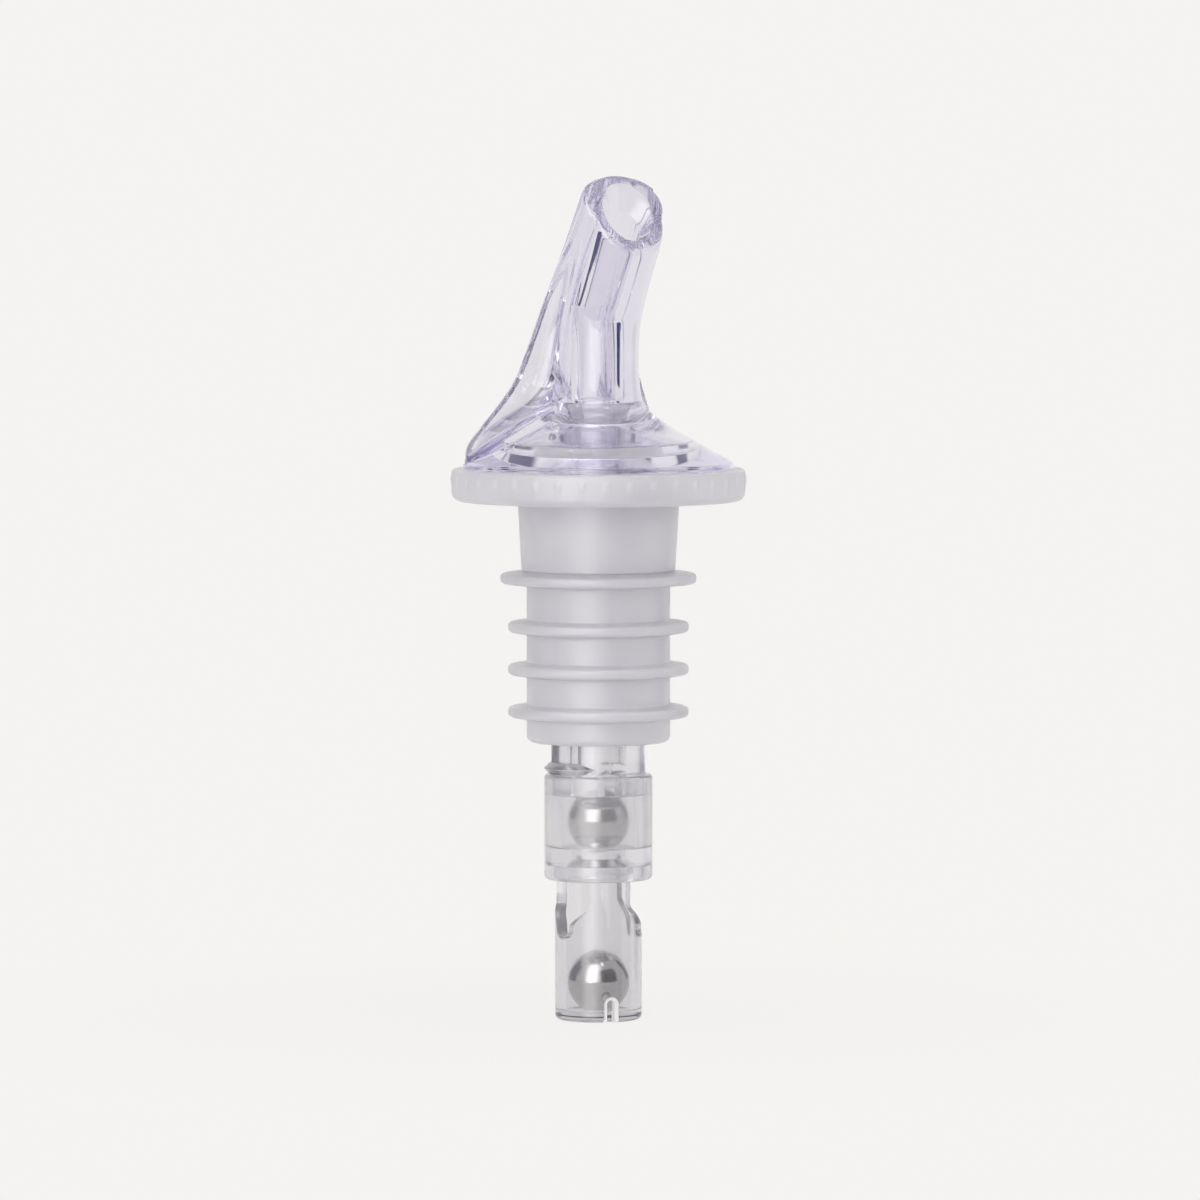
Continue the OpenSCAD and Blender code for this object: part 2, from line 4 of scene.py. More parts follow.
import bmesh
import bpy
import numpy as np
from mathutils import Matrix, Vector


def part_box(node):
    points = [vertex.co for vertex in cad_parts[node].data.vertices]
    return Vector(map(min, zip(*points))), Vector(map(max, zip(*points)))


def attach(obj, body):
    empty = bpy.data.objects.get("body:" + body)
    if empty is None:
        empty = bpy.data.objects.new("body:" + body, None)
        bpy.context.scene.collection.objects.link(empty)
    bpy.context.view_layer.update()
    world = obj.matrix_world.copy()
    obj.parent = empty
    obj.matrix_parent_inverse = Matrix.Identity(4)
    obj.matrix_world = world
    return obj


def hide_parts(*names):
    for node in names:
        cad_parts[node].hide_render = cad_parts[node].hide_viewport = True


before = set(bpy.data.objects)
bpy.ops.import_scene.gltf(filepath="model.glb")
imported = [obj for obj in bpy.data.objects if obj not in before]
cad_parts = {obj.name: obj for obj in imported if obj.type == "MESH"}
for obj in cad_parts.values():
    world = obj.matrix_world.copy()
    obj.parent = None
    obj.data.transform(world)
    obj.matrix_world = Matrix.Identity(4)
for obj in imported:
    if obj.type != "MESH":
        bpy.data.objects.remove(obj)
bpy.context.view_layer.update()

MM = 0.001


def node_corners(node):
    """Lowest and highest corners of a node, in millimetres."""
    low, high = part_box(node)
    return np.array(low) / MM, np.array(high) / MM


# Sizes taken from the frame, in millimetres
spout_low, spout_high = node_corners("spout")
_, collar_high = node_corners("collar")
cork_low, cork_high = node_corners("cork")
stem_low, stem_high = node_corners("stem")
cup_low, cup_high = node_corners("valve_cup")
tube_low, tube_high = node_corners("timing_tube")
check_low, check_high = node_corners("check_ball")
timing_low, _ = node_corners("timing_ball")
BASE_Z = collar_high[2]
BASE_R = spout_high[0]
STEM_R = stem_high[1]
CUP_R = cup_high[0]
TUBE_R = tube_high[1]
BALL_R = (check_high[2] - check_low[2]) / 2
CHECK_Z = check_low[2] + BALL_R
TIMING_Z = timing_low[2] + BALL_R

# Fits, in millimetres
FIT_GAP = 0.05
SEAT_GAP = 0.05
COLLAR_GAP = 0.15
LIP_GAP = 0.1
BALL_GAP = 0.18

# World angles, with the pour side at -Y and the stem's air side at -X
POUR_DIR = math.radians(-90)
AIR_DIR = math.radians(180)
TAIL_DIR = POUR_DIR + math.radians(-15)

# Radii of round edges, from the sharpest to the roundest, in millimetres
HAIR_EDGE = 0.08
CRISP_EDGE = 0.1
RIM_EDGE = 0.12
SMALL_EDGE = 0.15
EASED_EDGE = 0.2
LEAD_EDGE = 0.25
ROUND_EDGE = 0.3
FLOOR_EDGE = 0.4
FULL_EDGE = 0.5
ROOT_EDGE = 0.6

# Angle between the points of a round edge, points round a turned piece, and distance at which points join
EDGE_STEP = math.radians(9)
TURN_STEPS = 192
JOIN_REACH = 1e-4

# Angle between faces from which an edge shows as sharp
SHARP_ANGLE = math.radians(32)


def filleted(corners, closed=True):
    """Outline through corners (r, z, edge radius), with each edge radius drawn as an arc."""
    spots = np.array([corner[:2] for corner in corners], float)
    count = len(corners)
    outline = []
    for i, (_, _, edge) in enumerate(corners):
        spot = spots[i]
        is_end = not closed and i in (0, count - 1)
        if edge == 0 or is_end:
            outline.append(spot)
            continue
        back = spots[i - 1] - spot
        ahead = spots[(i + 1) % count] - spot
        back_len = np.linalg.norm(back)
        ahead_len = np.linalg.norm(ahead)
        back /= back_len
        ahead /= ahead_len
        half = math.acos(np.clip(back @ ahead, -1, 1)) / 2
        reach = min(edge / math.tan(half), back_len / 2, ahead_len / 2)
        radius = reach * math.tan(half)
        middle = back + ahead
        middle *= radius / math.sin(half) / np.linalg.norm(middle)
        start = back * reach - middle
        end = ahead * reach - middle
        sweep = math.pi - 2 * half
        steps = max(2, round(sweep / EDGE_STEP))
        for share in np.linspace(0, 1, steps + 1):
            outline.append(
                spot + middle
                + (start * math.sin((1 - share) * sweep) + end * math.sin(share * sweep)) / math.sin(sweep)
            )
    return np.array(outline)


def turned(outline, steps=TURN_STEPS):
    """Rings of points for an outline of (r, z) turned about the upright axis."""
    angles = np.arange(steps) * math.tau / steps
    rings = np.empty((len(outline), steps, 3))
    rings[..., 0] = outline[:, :1] * np.cos(angles)
    rings[..., 1] = outline[:, :1] * np.sin(angles)
    rings[..., 2] = outline[:, 1:]
    return rings


def new_object(name, points, faces):
    """Mesh object from points in millimetres, with shared points joined and faces turned outwards."""
    mesh = bpy.data.meshes.new(name)
    mesh.from_pydata((np.asarray(points, float) * MM).tolist(), [], faces)
    solid = bmesh.new()
    solid.from_mesh(mesh)
    bmesh.ops.remove_doubles(solid, verts=solid.verts, dist=JOIN_REACH * MM)
    bmesh.ops.recalc_face_normals(solid, faces=solid.faces)
    solid.to_mesh(mesh)
    solid.free()
    made = bpy.data.objects.new(name, mesh)
    bpy.context.scene.collection.objects.link(made)
    return made


def ringed(name, rings, closed=True):
    """Mesh of quads between neighbouring rings; a closed one joins its last ring to its first."""
    count, steps = rings.shape[:2]
    faces = []
    for i in range(count if closed else count - 1):
        low = i * steps
        high = (i + 1) % count * steps
        faces += [(low + j, low + (j + 1) % steps, high + (j + 1) % steps, high + j) for j in range(steps)]
    return new_object(name, rings.reshape(-1, 3), faces)


def prism(name, *loops):
    """Closed solid through like loops of points."""
    count = len(loops[0])
    last = count * (len(loops) - 1)
    sides = [
        (low + j, low + (j + 1) % count, low + count + (j + 1) % count, low + count + j)
        for low in range(0, last, count)
        for j in range(count)
    ]
    ends = [tuple(range(count)), tuple(range(last, last + count))]
    return new_object(name, np.vstack(loops), sides + ends)


def combined(base, tool, operation="DIFFERENCE"):
    """Cut a tool out of a mesh, or join it on, and leave plain mesh."""
    change = base.modifiers.new("change", "BOOLEAN")
    change.object = tool
    change.operation = operation
    change.solver = "EXACT"
    plain = bpy.data.meshes.new_from_object(base.evaluated_get(bpy.context.evaluated_depsgraph_get()))
    base.modifiers.clear()
    base.data = plain
    bpy.data.objects.remove(tool)


def placed(radial, tangent, height, direction):
    """Point at a distance out along a world angle, beside it and up."""
    return (
        radial * math.cos(direction) - tangent * math.sin(direction),
        radial * math.sin(direction) + tangent * math.cos(direction),
        height,
    )


def block(name, direction, radial, tangent, height):
    """Straight-sided block between two values each way, along a world angle."""
    left, right = tangent
    low, high = height
    corners = ((left, low), (right, low), (right, high), (left, high))
    return prism(name, *[[placed(r, t, z, direction) for t, z in corners] for r in radial])


def dressed(piece, material, node):
    """Smooth a finished piece and put it in a node's place."""
    piece.data.shade_smooth()
    piece.data.set_sharp_from_angle(angle=SHARP_ANGLE)
    piece.data.materials.clear()
    piece.data.materials.append(material)
    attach(piece, "pourer")
    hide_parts(node)


def let_light_through(piece):
    """Soft light and shadows pass a clear piece, and reach what lies under it."""
    piece.visible_diffuse = False
    piece.visible_shadow = False


# Shader building: places of the colour mix's sockets
MIX_A = 6
MIX_B = 7
MIX_RESULT = 2


def shader_node(tree, kind, values=None, **settings):
    """Node of a kind with its sockets and settings given."""
    made = tree.nodes.new(kind)
    for key, value in settings.items():
        setattr(made, key, value)
    for key, value in (values or {}).items():
        made.inputs[key].default_value = value
    return made


def new_group(name, inputs, outputs):
    """Empty shader group with float inputs (and their defaults) and float outputs."""
    tree = bpy.data.node_groups.new(name, "ShaderNodeTree")
    for key, value in inputs.items():
        socket = tree.interface.new_socket(key, in_out="INPUT", socket_type="NodeSocketFloat")
        socket.default_value = value
    for key in outputs:
        tree.interface.new_socket(key, in_out="OUTPUT", socket_type="NodeSocketFloat")
    return tree, tree.nodes.new("NodeGroupInput"), tree.nodes.new("NodeGroupOutput")


def moulding_group():
    """Slow ripple of a moulded surface, and patches of it that are less polished."""
    tree, given, put_out = new_group(
        "moulded_surface",
        {"Ripple Scale": 150.0, "Patch Scale": 500.0, "Smoothest": 0.0, "Roughest": 0.1},
        ("Roughness", "Height"),
    )
    place = shader_node(tree, "ShaderNodeTexCoord")
    ripple = shader_node(tree, "ShaderNodeTexNoise", {"Detail": 1.0})
    patch = shader_node(tree, "ShaderNodeTexNoise", {"Detail": 4.0, "Roughness": 0.6})
    spread = shader_node(tree, "ShaderNodeMapRange", {"From Min": 0.3, "From Max": 0.7})
    tree.links.new(place.outputs["Object"], ripple.inputs["Vector"])
    tree.links.new(place.outputs["Object"], patch.inputs["Vector"])
    tree.links.new(given.outputs["Ripple Scale"], ripple.inputs["Scale"])
    tree.links.new(given.outputs["Patch Scale"], patch.inputs["Scale"])
    tree.links.new(patch.outputs["Fac"], spread.inputs["Value"])
    tree.links.new(given.outputs["Smoothest"], spread.inputs["To Min"])
    tree.links.new(given.outputs["Roughest"], spread.inputs["To Max"])
    tree.links.new(spread.outputs["Result"], put_out.inputs["Roughness"])
    tree.links.new(ripple.outputs["Fac"], put_out.inputs["Height"])
    return tree


def grain_group():
    """Fine grain of a frosted or worn surface."""
    tree, given, put_out = new_group("fine_grain", {"Grain Scale": 4000.0}, ("Cloud", "Height"))
    place = shader_node(tree, "ShaderNodeTexCoord")
    grain = shader_node(tree, "ShaderNodeTexNoise", {"Detail": 3.0})
    cloud = shader_node(tree, "ShaderNodeTexNoise", {"Scale": 260.0, "Detail": 3.0})
    tree.links.new(place.outputs["Object"], grain.inputs["Vector"])
    tree.links.new(place.outputs["Object"], cloud.inputs["Vector"])
    tree.links.new(given.outputs["Grain Scale"], grain.inputs["Scale"])
    tree.links.new(grain.outputs["Fac"], put_out.inputs["Height"])
    tree.links.new(cloud.outputs["Fac"], put_out.inputs["Cloud"])
    return tree


MOULDED_SURFACE = moulding_group()
FINE_GRAIN = grain_group()


def new_material(name, values):
    """Material with one main shader, whose constant sockets are given."""
    material = bpy.data.materials.new(name)
    material.use_nodes = True
    tree = material.node_tree
    tree.nodes.clear()
    main = shader_node(tree, "ShaderNodeBsdfPrincipled", values)
    output = shader_node(tree, "ShaderNodeOutputMaterial")
    tree.links.new(main.outputs["BSDF"], output.inputs["Surface"])
    return material, tree, main, output


def placed_group(tree, group, values):
    """Group placed in a material with its own values."""
    made = tree.nodes.new("ShaderNodeGroup")
    made.node_tree = group
    for key, value in values.items():
        made.inputs[key].default_value = value
    return made


def add_bump(tree, height, main, strength, distance):
    """Bump from a height into the main shader's normal, with its distance in millimetres."""
    bump = shader_node(tree, "ShaderNodeBump", {"Strength": strength, "Distance": distance * MM})
    tree.links.new(height, bump.inputs["Height"])
    tree.links.new(bump.outputs["Normal"], main.inputs["Normal"])


def clear_material(name, base, clearness, tint, density, smoothest, roughest):
    """Clear moulded plastic, tinted by its thickness and milky where it isn't quite clear."""
    material, tree, main, output = new_material(
        name, {"Base Color": (*base, 1), "Transmission Weight": clearness, "IOR": 1.53}
    )
    moulding = placed_group(tree, MOULDED_SURFACE, {"Smoothest": smoothest, "Roughest": roughest})
    tree.links.new(moulding.outputs["Roughness"], main.inputs["Roughness"])
    add_bump(tree, moulding.outputs["Height"], main, strength=0.1, distance=0.25)
    depth = shader_node(tree, "ShaderNodeVolumeAbsorption", {"Color": (*tint, 1), "Density": density})
    tree.links.new(depth.outputs["Volume"], output.inputs["Volume"])
    return material


def frosted_material():
    """Translucent soft plastic with a fine frosted grain, faint clouds, and painted highlights that whiten
    the rib crests.
    """
    material, tree, main, _ = new_material("frosted_plastic", {"Transmission Weight": 0.6, "IOR": 1.5})
    moulding = placed_group(tree, MOULDED_SURFACE, {"Smoothest": 0.3, "Roughest": 0.42})
    grain = placed_group(tree, FINE_GRAIN, {"Grain Scale": 5000.0})
    shades = shader_node(tree, "ShaderNodeMix", data_type="RGBA")
    tree.links.new(grain.outputs["Cloud"], shades.inputs["Factor"])
    shades.inputs[MIX_A].default_value = (0.9, 0.885, 0.925, 1)
    shades.inputs[MIX_B].default_value = (0.955, 0.945, 0.975, 1)
    # Painted highlight: the rib crests are mixed towards white, standing in for the light they catch.
    crest_highlight = shader_node(tree, "ShaderNodeAttribute", attribute_name="crest_highlight")
    shades_with_crest_highlight = shader_node(tree, "ShaderNodeMix", data_type="RGBA")
    shades_with_crest_highlight.inputs[MIX_B].default_value = (1, 1, 1, 1)
    tree.links.new(crest_highlight.outputs["Fac"], shades_with_crest_highlight.inputs["Factor"])
    tree.links.new(shades.outputs[MIX_RESULT], shades_with_crest_highlight.inputs[MIX_A])
    tree.links.new(shades_with_crest_highlight.outputs[MIX_RESULT], main.inputs["Base Color"])
    tree.links.new(moulding.outputs["Roughness"], main.inputs["Roughness"])
    add_bump(tree, grain.outputs["Height"], main, strength=0.25, distance=0.03)
    return material


def steel_material():
    """Polished steel with faint patches where it is less bright."""
    material, tree, main, _ = new_material(
        "polished_steel", {"Base Color": (0.5, 0.495, 0.485, 1), "Metallic": 1.0}
    )
    moulding = placed_group(tree, MOULDED_SURFACE, {"Smoothest": 0.05, "Roughest": 0.11})
    tree.links.new(moulding.outputs["Roughness"], main.inputs["Roughness"])
    return material


SPOUT_PLASTIC = clear_material(
    "spout_plastic",
    base=(0.86, 0.845, 0.905),
    clearness=1.0,
    tint=(0.667, 0.617, 0.85),
    density=19.0,
    smoothest=0.02,
    roughest=0.07,
)
STEM_PLASTIC = clear_material(
    "stem_plastic",
    base=(0.98, 0.97, 0.985),
    clearness=0.88,
    tint=(0.6, 0.58, 0.64),
    density=50.0,
    smoothest=0.08,
    roughest=0.16,
)
CUP_PLASTIC = clear_material(
    "cup_plastic",
    base=(0.91, 0.9, 0.92),
    clearness=0.86,
    tint=(0.6, 0.58, 0.63),
    density=40.0,
    smoothest=0.1,
    roughest=0.17,
)
TUBE_PLASTIC = clear_material(
    "tube_plastic",
    base=(0.89, 0.88, 0.9),
    clearness=0.95,
    tint=(0.6, 0.58, 0.62),
    density=120.0,
    smoothest=0.03,
    roughest=0.09,
)
# Painted highlight: whitened plastic on the metering notch's walls, standing in for the light they catch.
NOTCH_HIGHLIGHT_PLASTIC = clear_material(
    "notch_highlight_plastic",
    base=(0.98, 0.97, 0.97),
    clearness=0.35,
    tint=(0.8, 0.79, 0.82),
    density=40.0,
    smoothest=0.3,
    roughest=0.4,
)
FROSTED_PLASTIC = frosted_material()
POLISHED_STEEL = steel_material()

# Spout sizes in millimetres and angles, repeated from the part's design; heights are above the base
BASE_RIM_H = 0.6
BELL_STEP = 0.15
BELL_FOOT_R = BASE_R - BELL_STEP
BELL_SLOPE = math.radians(61.3)
BELL_BLEND = 3.2
BELL_WALL = 1.1
BOSS_WALL = 1.6
HOLLOW_R = 11.5
VENT_R = 0.75
VENT_REACH = 9.4
VENT_DIR = POUR_DIR - math.radians(68)
VENT_LOW_H = 2.0
VENT_HIGH_H = 9.0
PLUG_WALL = 1.45
PLUG_ROOT = 0.3
SHOULDER_H = 0.9
SPIGOT_R = 4.3
POUR_TUBE_R = 4.75
BEND_H = 19.0
POUR_LEAN = math.radians(26.5)
BEND_BLEND = 4.0
LEAN_LEN = 15.1
MOUTH_TILT = math.radians(57)
MOUTH_FLARE = 0.3
UPRIGHT_BORE_R = 2.2
BORE_END = 1.9
LEAN_BORE_START = 0.9
LEAN_BORE_LOW_R = 1.95
LEAN_BORE_MOUTH_R = 2.2
BORE_TAPER = (LEAN_BORE_MOUTH_R - LEAN_BORE_LOW_R) / (LEAN_BORE_START + LEAN_LEN)
MOUTH_BORE_R = 3.6
MOUTH_BORE_DEPTH = 1.6
WING_TURN = math.radians(122)
WING_FOOT_R = 14.1
WING_LEAN = math.radians(18.4)
WING_SPREAD_H = 10.6
WING_SPREAD = 0.5
WING_SOFT = 1.0
WING_FOOT_H = 0.9
FOOT_SOFT = 0.8
BACK_SOFT = 0.5
WING_RIM_R = 1.1
MOUTH_RIM_R = 3.0
MOUTH_FADE_H = 15.0
SCOOP_DEPTH = 0.22
RIDGE_TURN = math.radians(81)
RIDGE_GAP = math.radians(8)
RIDGE_SWEEP_H = 3.2
RIM_WRAP = math.radians(70)
BEND_POINT = np.array((0, 0, BASE_Z + BEND_H))
LEAN_ALONG = np.array((0, -math.sin(POUR_LEAN), math.cos(POUR_LEAN)))
LEAN_FORWARD = np.array((0, -math.cos(POUR_LEAN), -math.sin(POUR_LEAN)))
MOUTH_NORMAL = np.array((0, -math.sin(MOUTH_TILT), math.cos(MOUTH_TILT)))

# Softer forms at the spout's mouth, which the part's design has plain
MOUTH_BULGE = 0.075
MOUTH_BACK_SOFT = 0.9
MOUTH_DRAW = 0.5
LIP_SOFT = 0.7
BORE_SOFT = 0.3
EDGE_SHARE = 0.45
FLARE_EDGE_SHARE = 0.25
BORE_EDGE_START = 0.6

# Steps along each stretch of the spout's half section and up its height
FRONT_STEPS = 48
SCOOP_STEPS = 26
RIM_STEPS = 22
BACK_STEPS = 24
FOOT_LEVELS = 48
TILT_LEVELS = 70
LEVEL_CROWDING = 1.7
TILT_LOW_H = 11.0
LIP_STEPS = 8
BORE_LEVELS = 40
JUNCTION_LEVELS = 12
VENT_STEPS = 32
HEIGHT_HALVINGS = 48
SECTION_COLUMNS = FRONT_STEPS + SCOOP_STEPS + RIM_STEPS + BACK_STEPS + 1


def smooth_max(a, b, soft):
    """Larger of two values, with a soft change from one to the other."""
    return (a + b + np.sqrt((a - b) ** 2 + soft ** 2)) / 2


def smooth_min(a, b, soft):
    """Smaller of two values, with a soft change from one to the other."""
    return (a + b - np.sqrt((a - b) ** 2 + soft ** 2)) / 2


def eased(share):
    """Share from 0 to 1 with soft ends."""
    share = np.clip(share, 0, 1)
    return share * share * (3 - 2 * share)


def mouth_share(h):
    """Share of the mouth's form at a height, from none at the bend."""
    return eased((h - BEND_H) / MOUTH_FADE_H)


def rim_r(h):
    """Radius of the wing's rim."""
    return WING_RIM_R + (MOUTH_RIM_R - WING_RIM_R) * mouth_share(h)


def axis_shift(h):
    """Shift of the section's middle towards the pour side."""
    return math.tan(POUR_LEAN) * smooth_max(h - BEND_H, 0, BEND_BLEND)


def bell_r(h):
    """Radius of the bell, which runs up into the pour tube."""
    cone = BASE_R - (h - BASE_RIM_H) * math.tan(BELL_SLOPE)
    return np.minimum(BELL_FOOT_R, smooth_max(POUR_TUBE_R, cone, BELL_BLEND))


def front_r(turn, h):
    """Radius of the bell and pour tube, cut level where the tube leans."""
    lean_share = (1 + (h - BEND_H) / np.hypot(h - BEND_H, BEND_BLEND)) / 2
    tube_r = bell_r(h) + MOUTH_FLARE * mouth_share(h) * np.cos(turn / 2)
    return tube_r / np.sqrt(1 - (math.sin(POUR_LEAN) * lean_share * np.cos(turn)) ** 2)


def wing_reach(h):
    """Distance from the section's middle to the middle of the wing's rim."""
    spread = smooth_max(WING_SPREAD * (WING_SPREAD_H - h), 0, WING_SOFT)
    edge = smooth_min(BELL_FOOT_R, WING_FOOT_R - h * math.tan(WING_LEAN) + spread, FOOT_SOFT)
    return edge - math.cos(WING_TURN) * axis_shift(h) - rim_r(h) - MOUTH_DRAW * mouth_share(h)


def ridge_turn(h):
    """Turn from the pour side to the ridge where the wing's hollow side starts."""
    return RIDGE_TURN + (WING_TURN - RIDGE_GAP - RIDGE_TURN) * np.exp(-((h / RIDGE_SWEEP_H) ** 2))


def around(r, turn):
    """Point of a section as a complex number: real towards the pour side, imaginary to its side."""
    return r * np.exp(1j * turn)


def rim_point(h, turn):
    """Point on the wing's rim, at a turn about the rim's own middle."""
    return around(wing_reach(h), WING_TURN) + around(rim_r(h), turn)


def outside_bell(h, point):
    """Point moved out to the bell or pour tube where it lies inside them."""
    turn = np.angle(point)
    soft = BACK_SOFT + MOUTH_BACK_SOFT * mouth_share(h)
    return around(smooth_max(np.abs(point), front_r(turn, h), soft), turn)


def half_section(h):
    """Half of the spout's outside, one point for each column at that column's height."""
    shares = [np.arange(1, count + 1) / count for count in (SCOOP_STEPS, RIM_STEPS, BACK_STEPS)]
    ends = np.cumsum([FRONT_STEPS + 1, SCOOP_STEPS, RIM_STEPS, BACK_STEPS])
    front_h, scoop_h, wing_h, back_h = np.split(h, ends[:3], axis=-1)
    front_turn = ridge_turn(front_h) * np.arange(FRONT_STEPS + 1) / FRONT_STEPS
    front = around(front_r(front_turn, front_h), front_turn)
    scoop_turn = ridge_turn(scoop_h)
    ridge = around(front_r(scoop_turn, scoop_h), scoop_turn)
    span = rim_point(scoop_h, WING_TURN - RIM_WRAP) - ridge
    depth = SCOOP_DEPTH - (SCOOP_DEPTH + MOUTH_BULGE) * mouth_share(scoop_h)
    scoop = ridge + span * shares[0] + 1j * span * depth * 4 * shares[0] * (1 - shares[0])
    wing_turn = WING_TURN + RIM_WRAP * (2 * shares[1] - 1)
    wing = rim_point(wing_h, wing_turn)
    wing = np.where(wing_turn > WING_TURN, outside_bell(wing_h, wing), wing)
    last = rim_point(back_h, WING_TURN + RIM_WRAP)
    back_turn = np.angle(last) + (math.pi - np.angle(last)) * shares[2]
    back = outside_bell(back_h, last.real * (1 + 1j * np.tan(back_turn)))
    points = np.concatenate((front, scoop, wing, back), axis=-1)
    size = np.abs(points)
    foot_size = size + (bell_r(h) - size) * np.exp(-((h / WING_FOOT_H) ** 2))
    return points * np.minimum(foot_size, BELL_FOOT_R) / size


def spout_outside(middle_h, tilt):
    """Half rings of the outside, on planes that cross the axis at a height and tilt to the pour side."""
    middle = np.repeat(middle_h[:, None], SECTION_COLUMNS, axis=1)
    slope = np.repeat(np.tan(tilt)[:, None], SECTION_COLUMNS, axis=1)
    low = middle - BASE_R
    high = middle + BASE_R
    for _ in range(HEIGHT_HALVINGS):
        h = (low + high) / 2
        reach = axis_shift(h) + half_section(h).real - axis_shift(middle)
        too_high = h > middle - slope * reach
        high = np.where(too_high, h, high)
        low = np.where(too_high, low, h)
    section = half_section(h)
    return np.stack((section.imag, -axis_shift(h) - section.real, BASE_Z + h), axis=-1)


def whole_ring(half):
    """Rings from half rings, by their mirror image across the middle plane."""
    return np.concatenate((half, half[..., -2:0:-1, :] * (-1, 1, 1)), axis=-2)


def lean_outward(turns):
    """Directions out from the leaning axis, by their turns from its pour side."""
    return np.cos(turns)[:, None] * LEAN_FORWARD + np.sin(turns)[:, None] * (1, 0, 0)


def mouth_slice(turns, bar_r, mouth_middle):
    """Half ring where the mouth's plane cuts a round bar along the leaning axis."""
    outward = lean_outward(turns)
    reach = ((mouth_middle - BEND_POINT - bar_r * outward) @ MOUTH_NORMAL) / (LEAN_ALONG @ MOUTH_NORMAL)
    return BEND_POINT + reach[:, None] * LEAN_ALONG + bar_r * outward


def bore_rings(turns_low, turns_mouth, high_middle):
    """Half rings of the leaning bore, from a plane along the mouth's down to the upright bore's end."""
    start = BEND_POINT - LEAN_ALONG * LEAN_BORE_START
    low_middle = BEND_POINT + LEAN_ALONG * BORE_END / math.cos(POUR_LEAN)
    rings = []
    for share in np.linspace(0, 1, BORE_LEVELS + 1):
        middle = high_middle + (low_middle - high_middle) * share
        tilt = MOUTH_TILT * (1 - eased(share))
        normal = np.array((0, -math.sin(tilt), math.cos(tilt)))
        outward = lean_outward(turns_mouth + (turns_low - turns_mouth) * eased(share))
        reach = (normal @ (middle - start) - LEAN_BORE_LOW_R * outward @ normal) / (
            normal @ LEAN_ALONG + BORE_TAPER * outward @ normal
        )
        wall_r = LEAN_BORE_LOW_R + BORE_TAPER * reach
        rings.append(start + reach[:, None] * LEAN_ALONG + wall_r[:, None] * outward)
    return np.array(rings)


def lean_bore_reach(turns, rise):
    """Distances from the upright axis to the leaning bore's wall, at a height above the bend."""
    bore_r = LEAN_BORE_LOW_R + BORE_TAPER * (LEAN_BORE_START + rise / math.cos(POUR_LEAN))
    long_r = bore_r / math.cos(POUR_LEAN)
    middle = rise * math.tan(POUR_LEAN)
    square = (np.cos(turns) / long_r) ** 2 + (np.sin(turns) / bore_r) ** 2
    slope = middle * np.cos(turns) / long_r ** 2
    return (slope + np.sqrt(slope ** 2 + square * (1 - (middle / long_r) ** 2))) / square


def junction_rings(turns_high, turns_low):
    """Half rings where the leaning bore opens into the upright one, from the upright bore's end down."""
    rings = []
    for share in np.linspace(0, 1, JUNCTION_LEVELS + 1):
        rise = BORE_END * (1 - share)
        turns = turns_high + (turns_low - turns_high) * share
        reach = np.maximum(UPRIGHT_BORE_R, lean_bore_reach(turns, rise))
        level = np.full(len(turns), BASE_Z + BEND_H + rise)
        rings.append(np.stack((reach * np.sin(turns), -reach * np.cos(turns), level), axis=-1))
    return np.array(rings)


def bend_through(first, corner, last, steps):
    """Points of a round edge from one ring to another, drawn towards the ring of their corner."""
    shares = np.linspace(0, 1, steps + 1)[:, None, None]
    return first * (1 - shares) ** 2 + corner * 2 * shares * (1 - shares) + last * shares ** 2


def spout_inside(turns):
    """Half rings from the upright bore down through the socket and plug, and up into the hollow bell."""
    plug_bore_r = STEM_R + FIT_GAP
    plug_r = plug_bore_r + PLUG_WALL
    socket_r = SPIGOT_R + FIT_GAP
    boss_r = socket_r + BOSS_WALL
    root_r = plug_r + PLUG_ROOT
    shoulder_z = BASE_Z + SHOULDER_H
    step_z = shoulder_z + BOSS_WALL
    socket_top_z = stem_high[2] + FIT_GAP
    plug_z = spout_low[2]

    def roof_z(r):
        """Height of the hollow bell's roof at a radius."""
        return BASE_Z + BASE_RIM_H + (BASE_R - r) / math.tan(BELL_SLOPE) - BELL_WALL / math.sin(BELL_SLOPE)

    outline = filleted(
        [
            (UPRIGHT_BORE_R, BASE_Z + BEND_H, 0),
            (UPRIGHT_BORE_R, socket_top_z, SMALL_EDGE),
            (socket_r, socket_top_z, SMALL_EDGE),
            (socket_r, shoulder_z + FIT_GAP, SMALL_EDGE),
            (plug_bore_r, shoulder_z + FIT_GAP, CRISP_EDGE),
            (plug_bore_r, plug_z, EASED_EDGE),
            (plug_r, plug_z, ROUND_EDGE),
            (plug_r, BASE_Z, 0),
            (root_r, BASE_Z, 0),
            (root_r, step_z, EASED_EDGE),
            (boss_r, step_z, ROUND_EDGE),
            (boss_r, roof_z(boss_r), ROOT_EDGE),
            (HOLLOW_R, roof_z(HOLLOW_R), FULL_EDGE),
            (HOLLOW_R, BASE_Z, SMALL_EDGE),
            (BASE_R, BASE_Z, SMALL_EDGE),
            (BASE_R, BASE_Z + BASE_RIM_H, RIM_EDGE),
            (BELL_FOOT_R, BASE_Z + BASE_RIM_H, 0),
        ],
        closed=False,
    )
    rings = np.empty((len(outline), len(turns), 3))
    rings[..., 0] = outline[:, :1] * np.sin(turns)
    rings[..., 1] = -outline[:, :1] * np.cos(turns)
    rings[..., 2] = outline[:, 1:]
    return rings


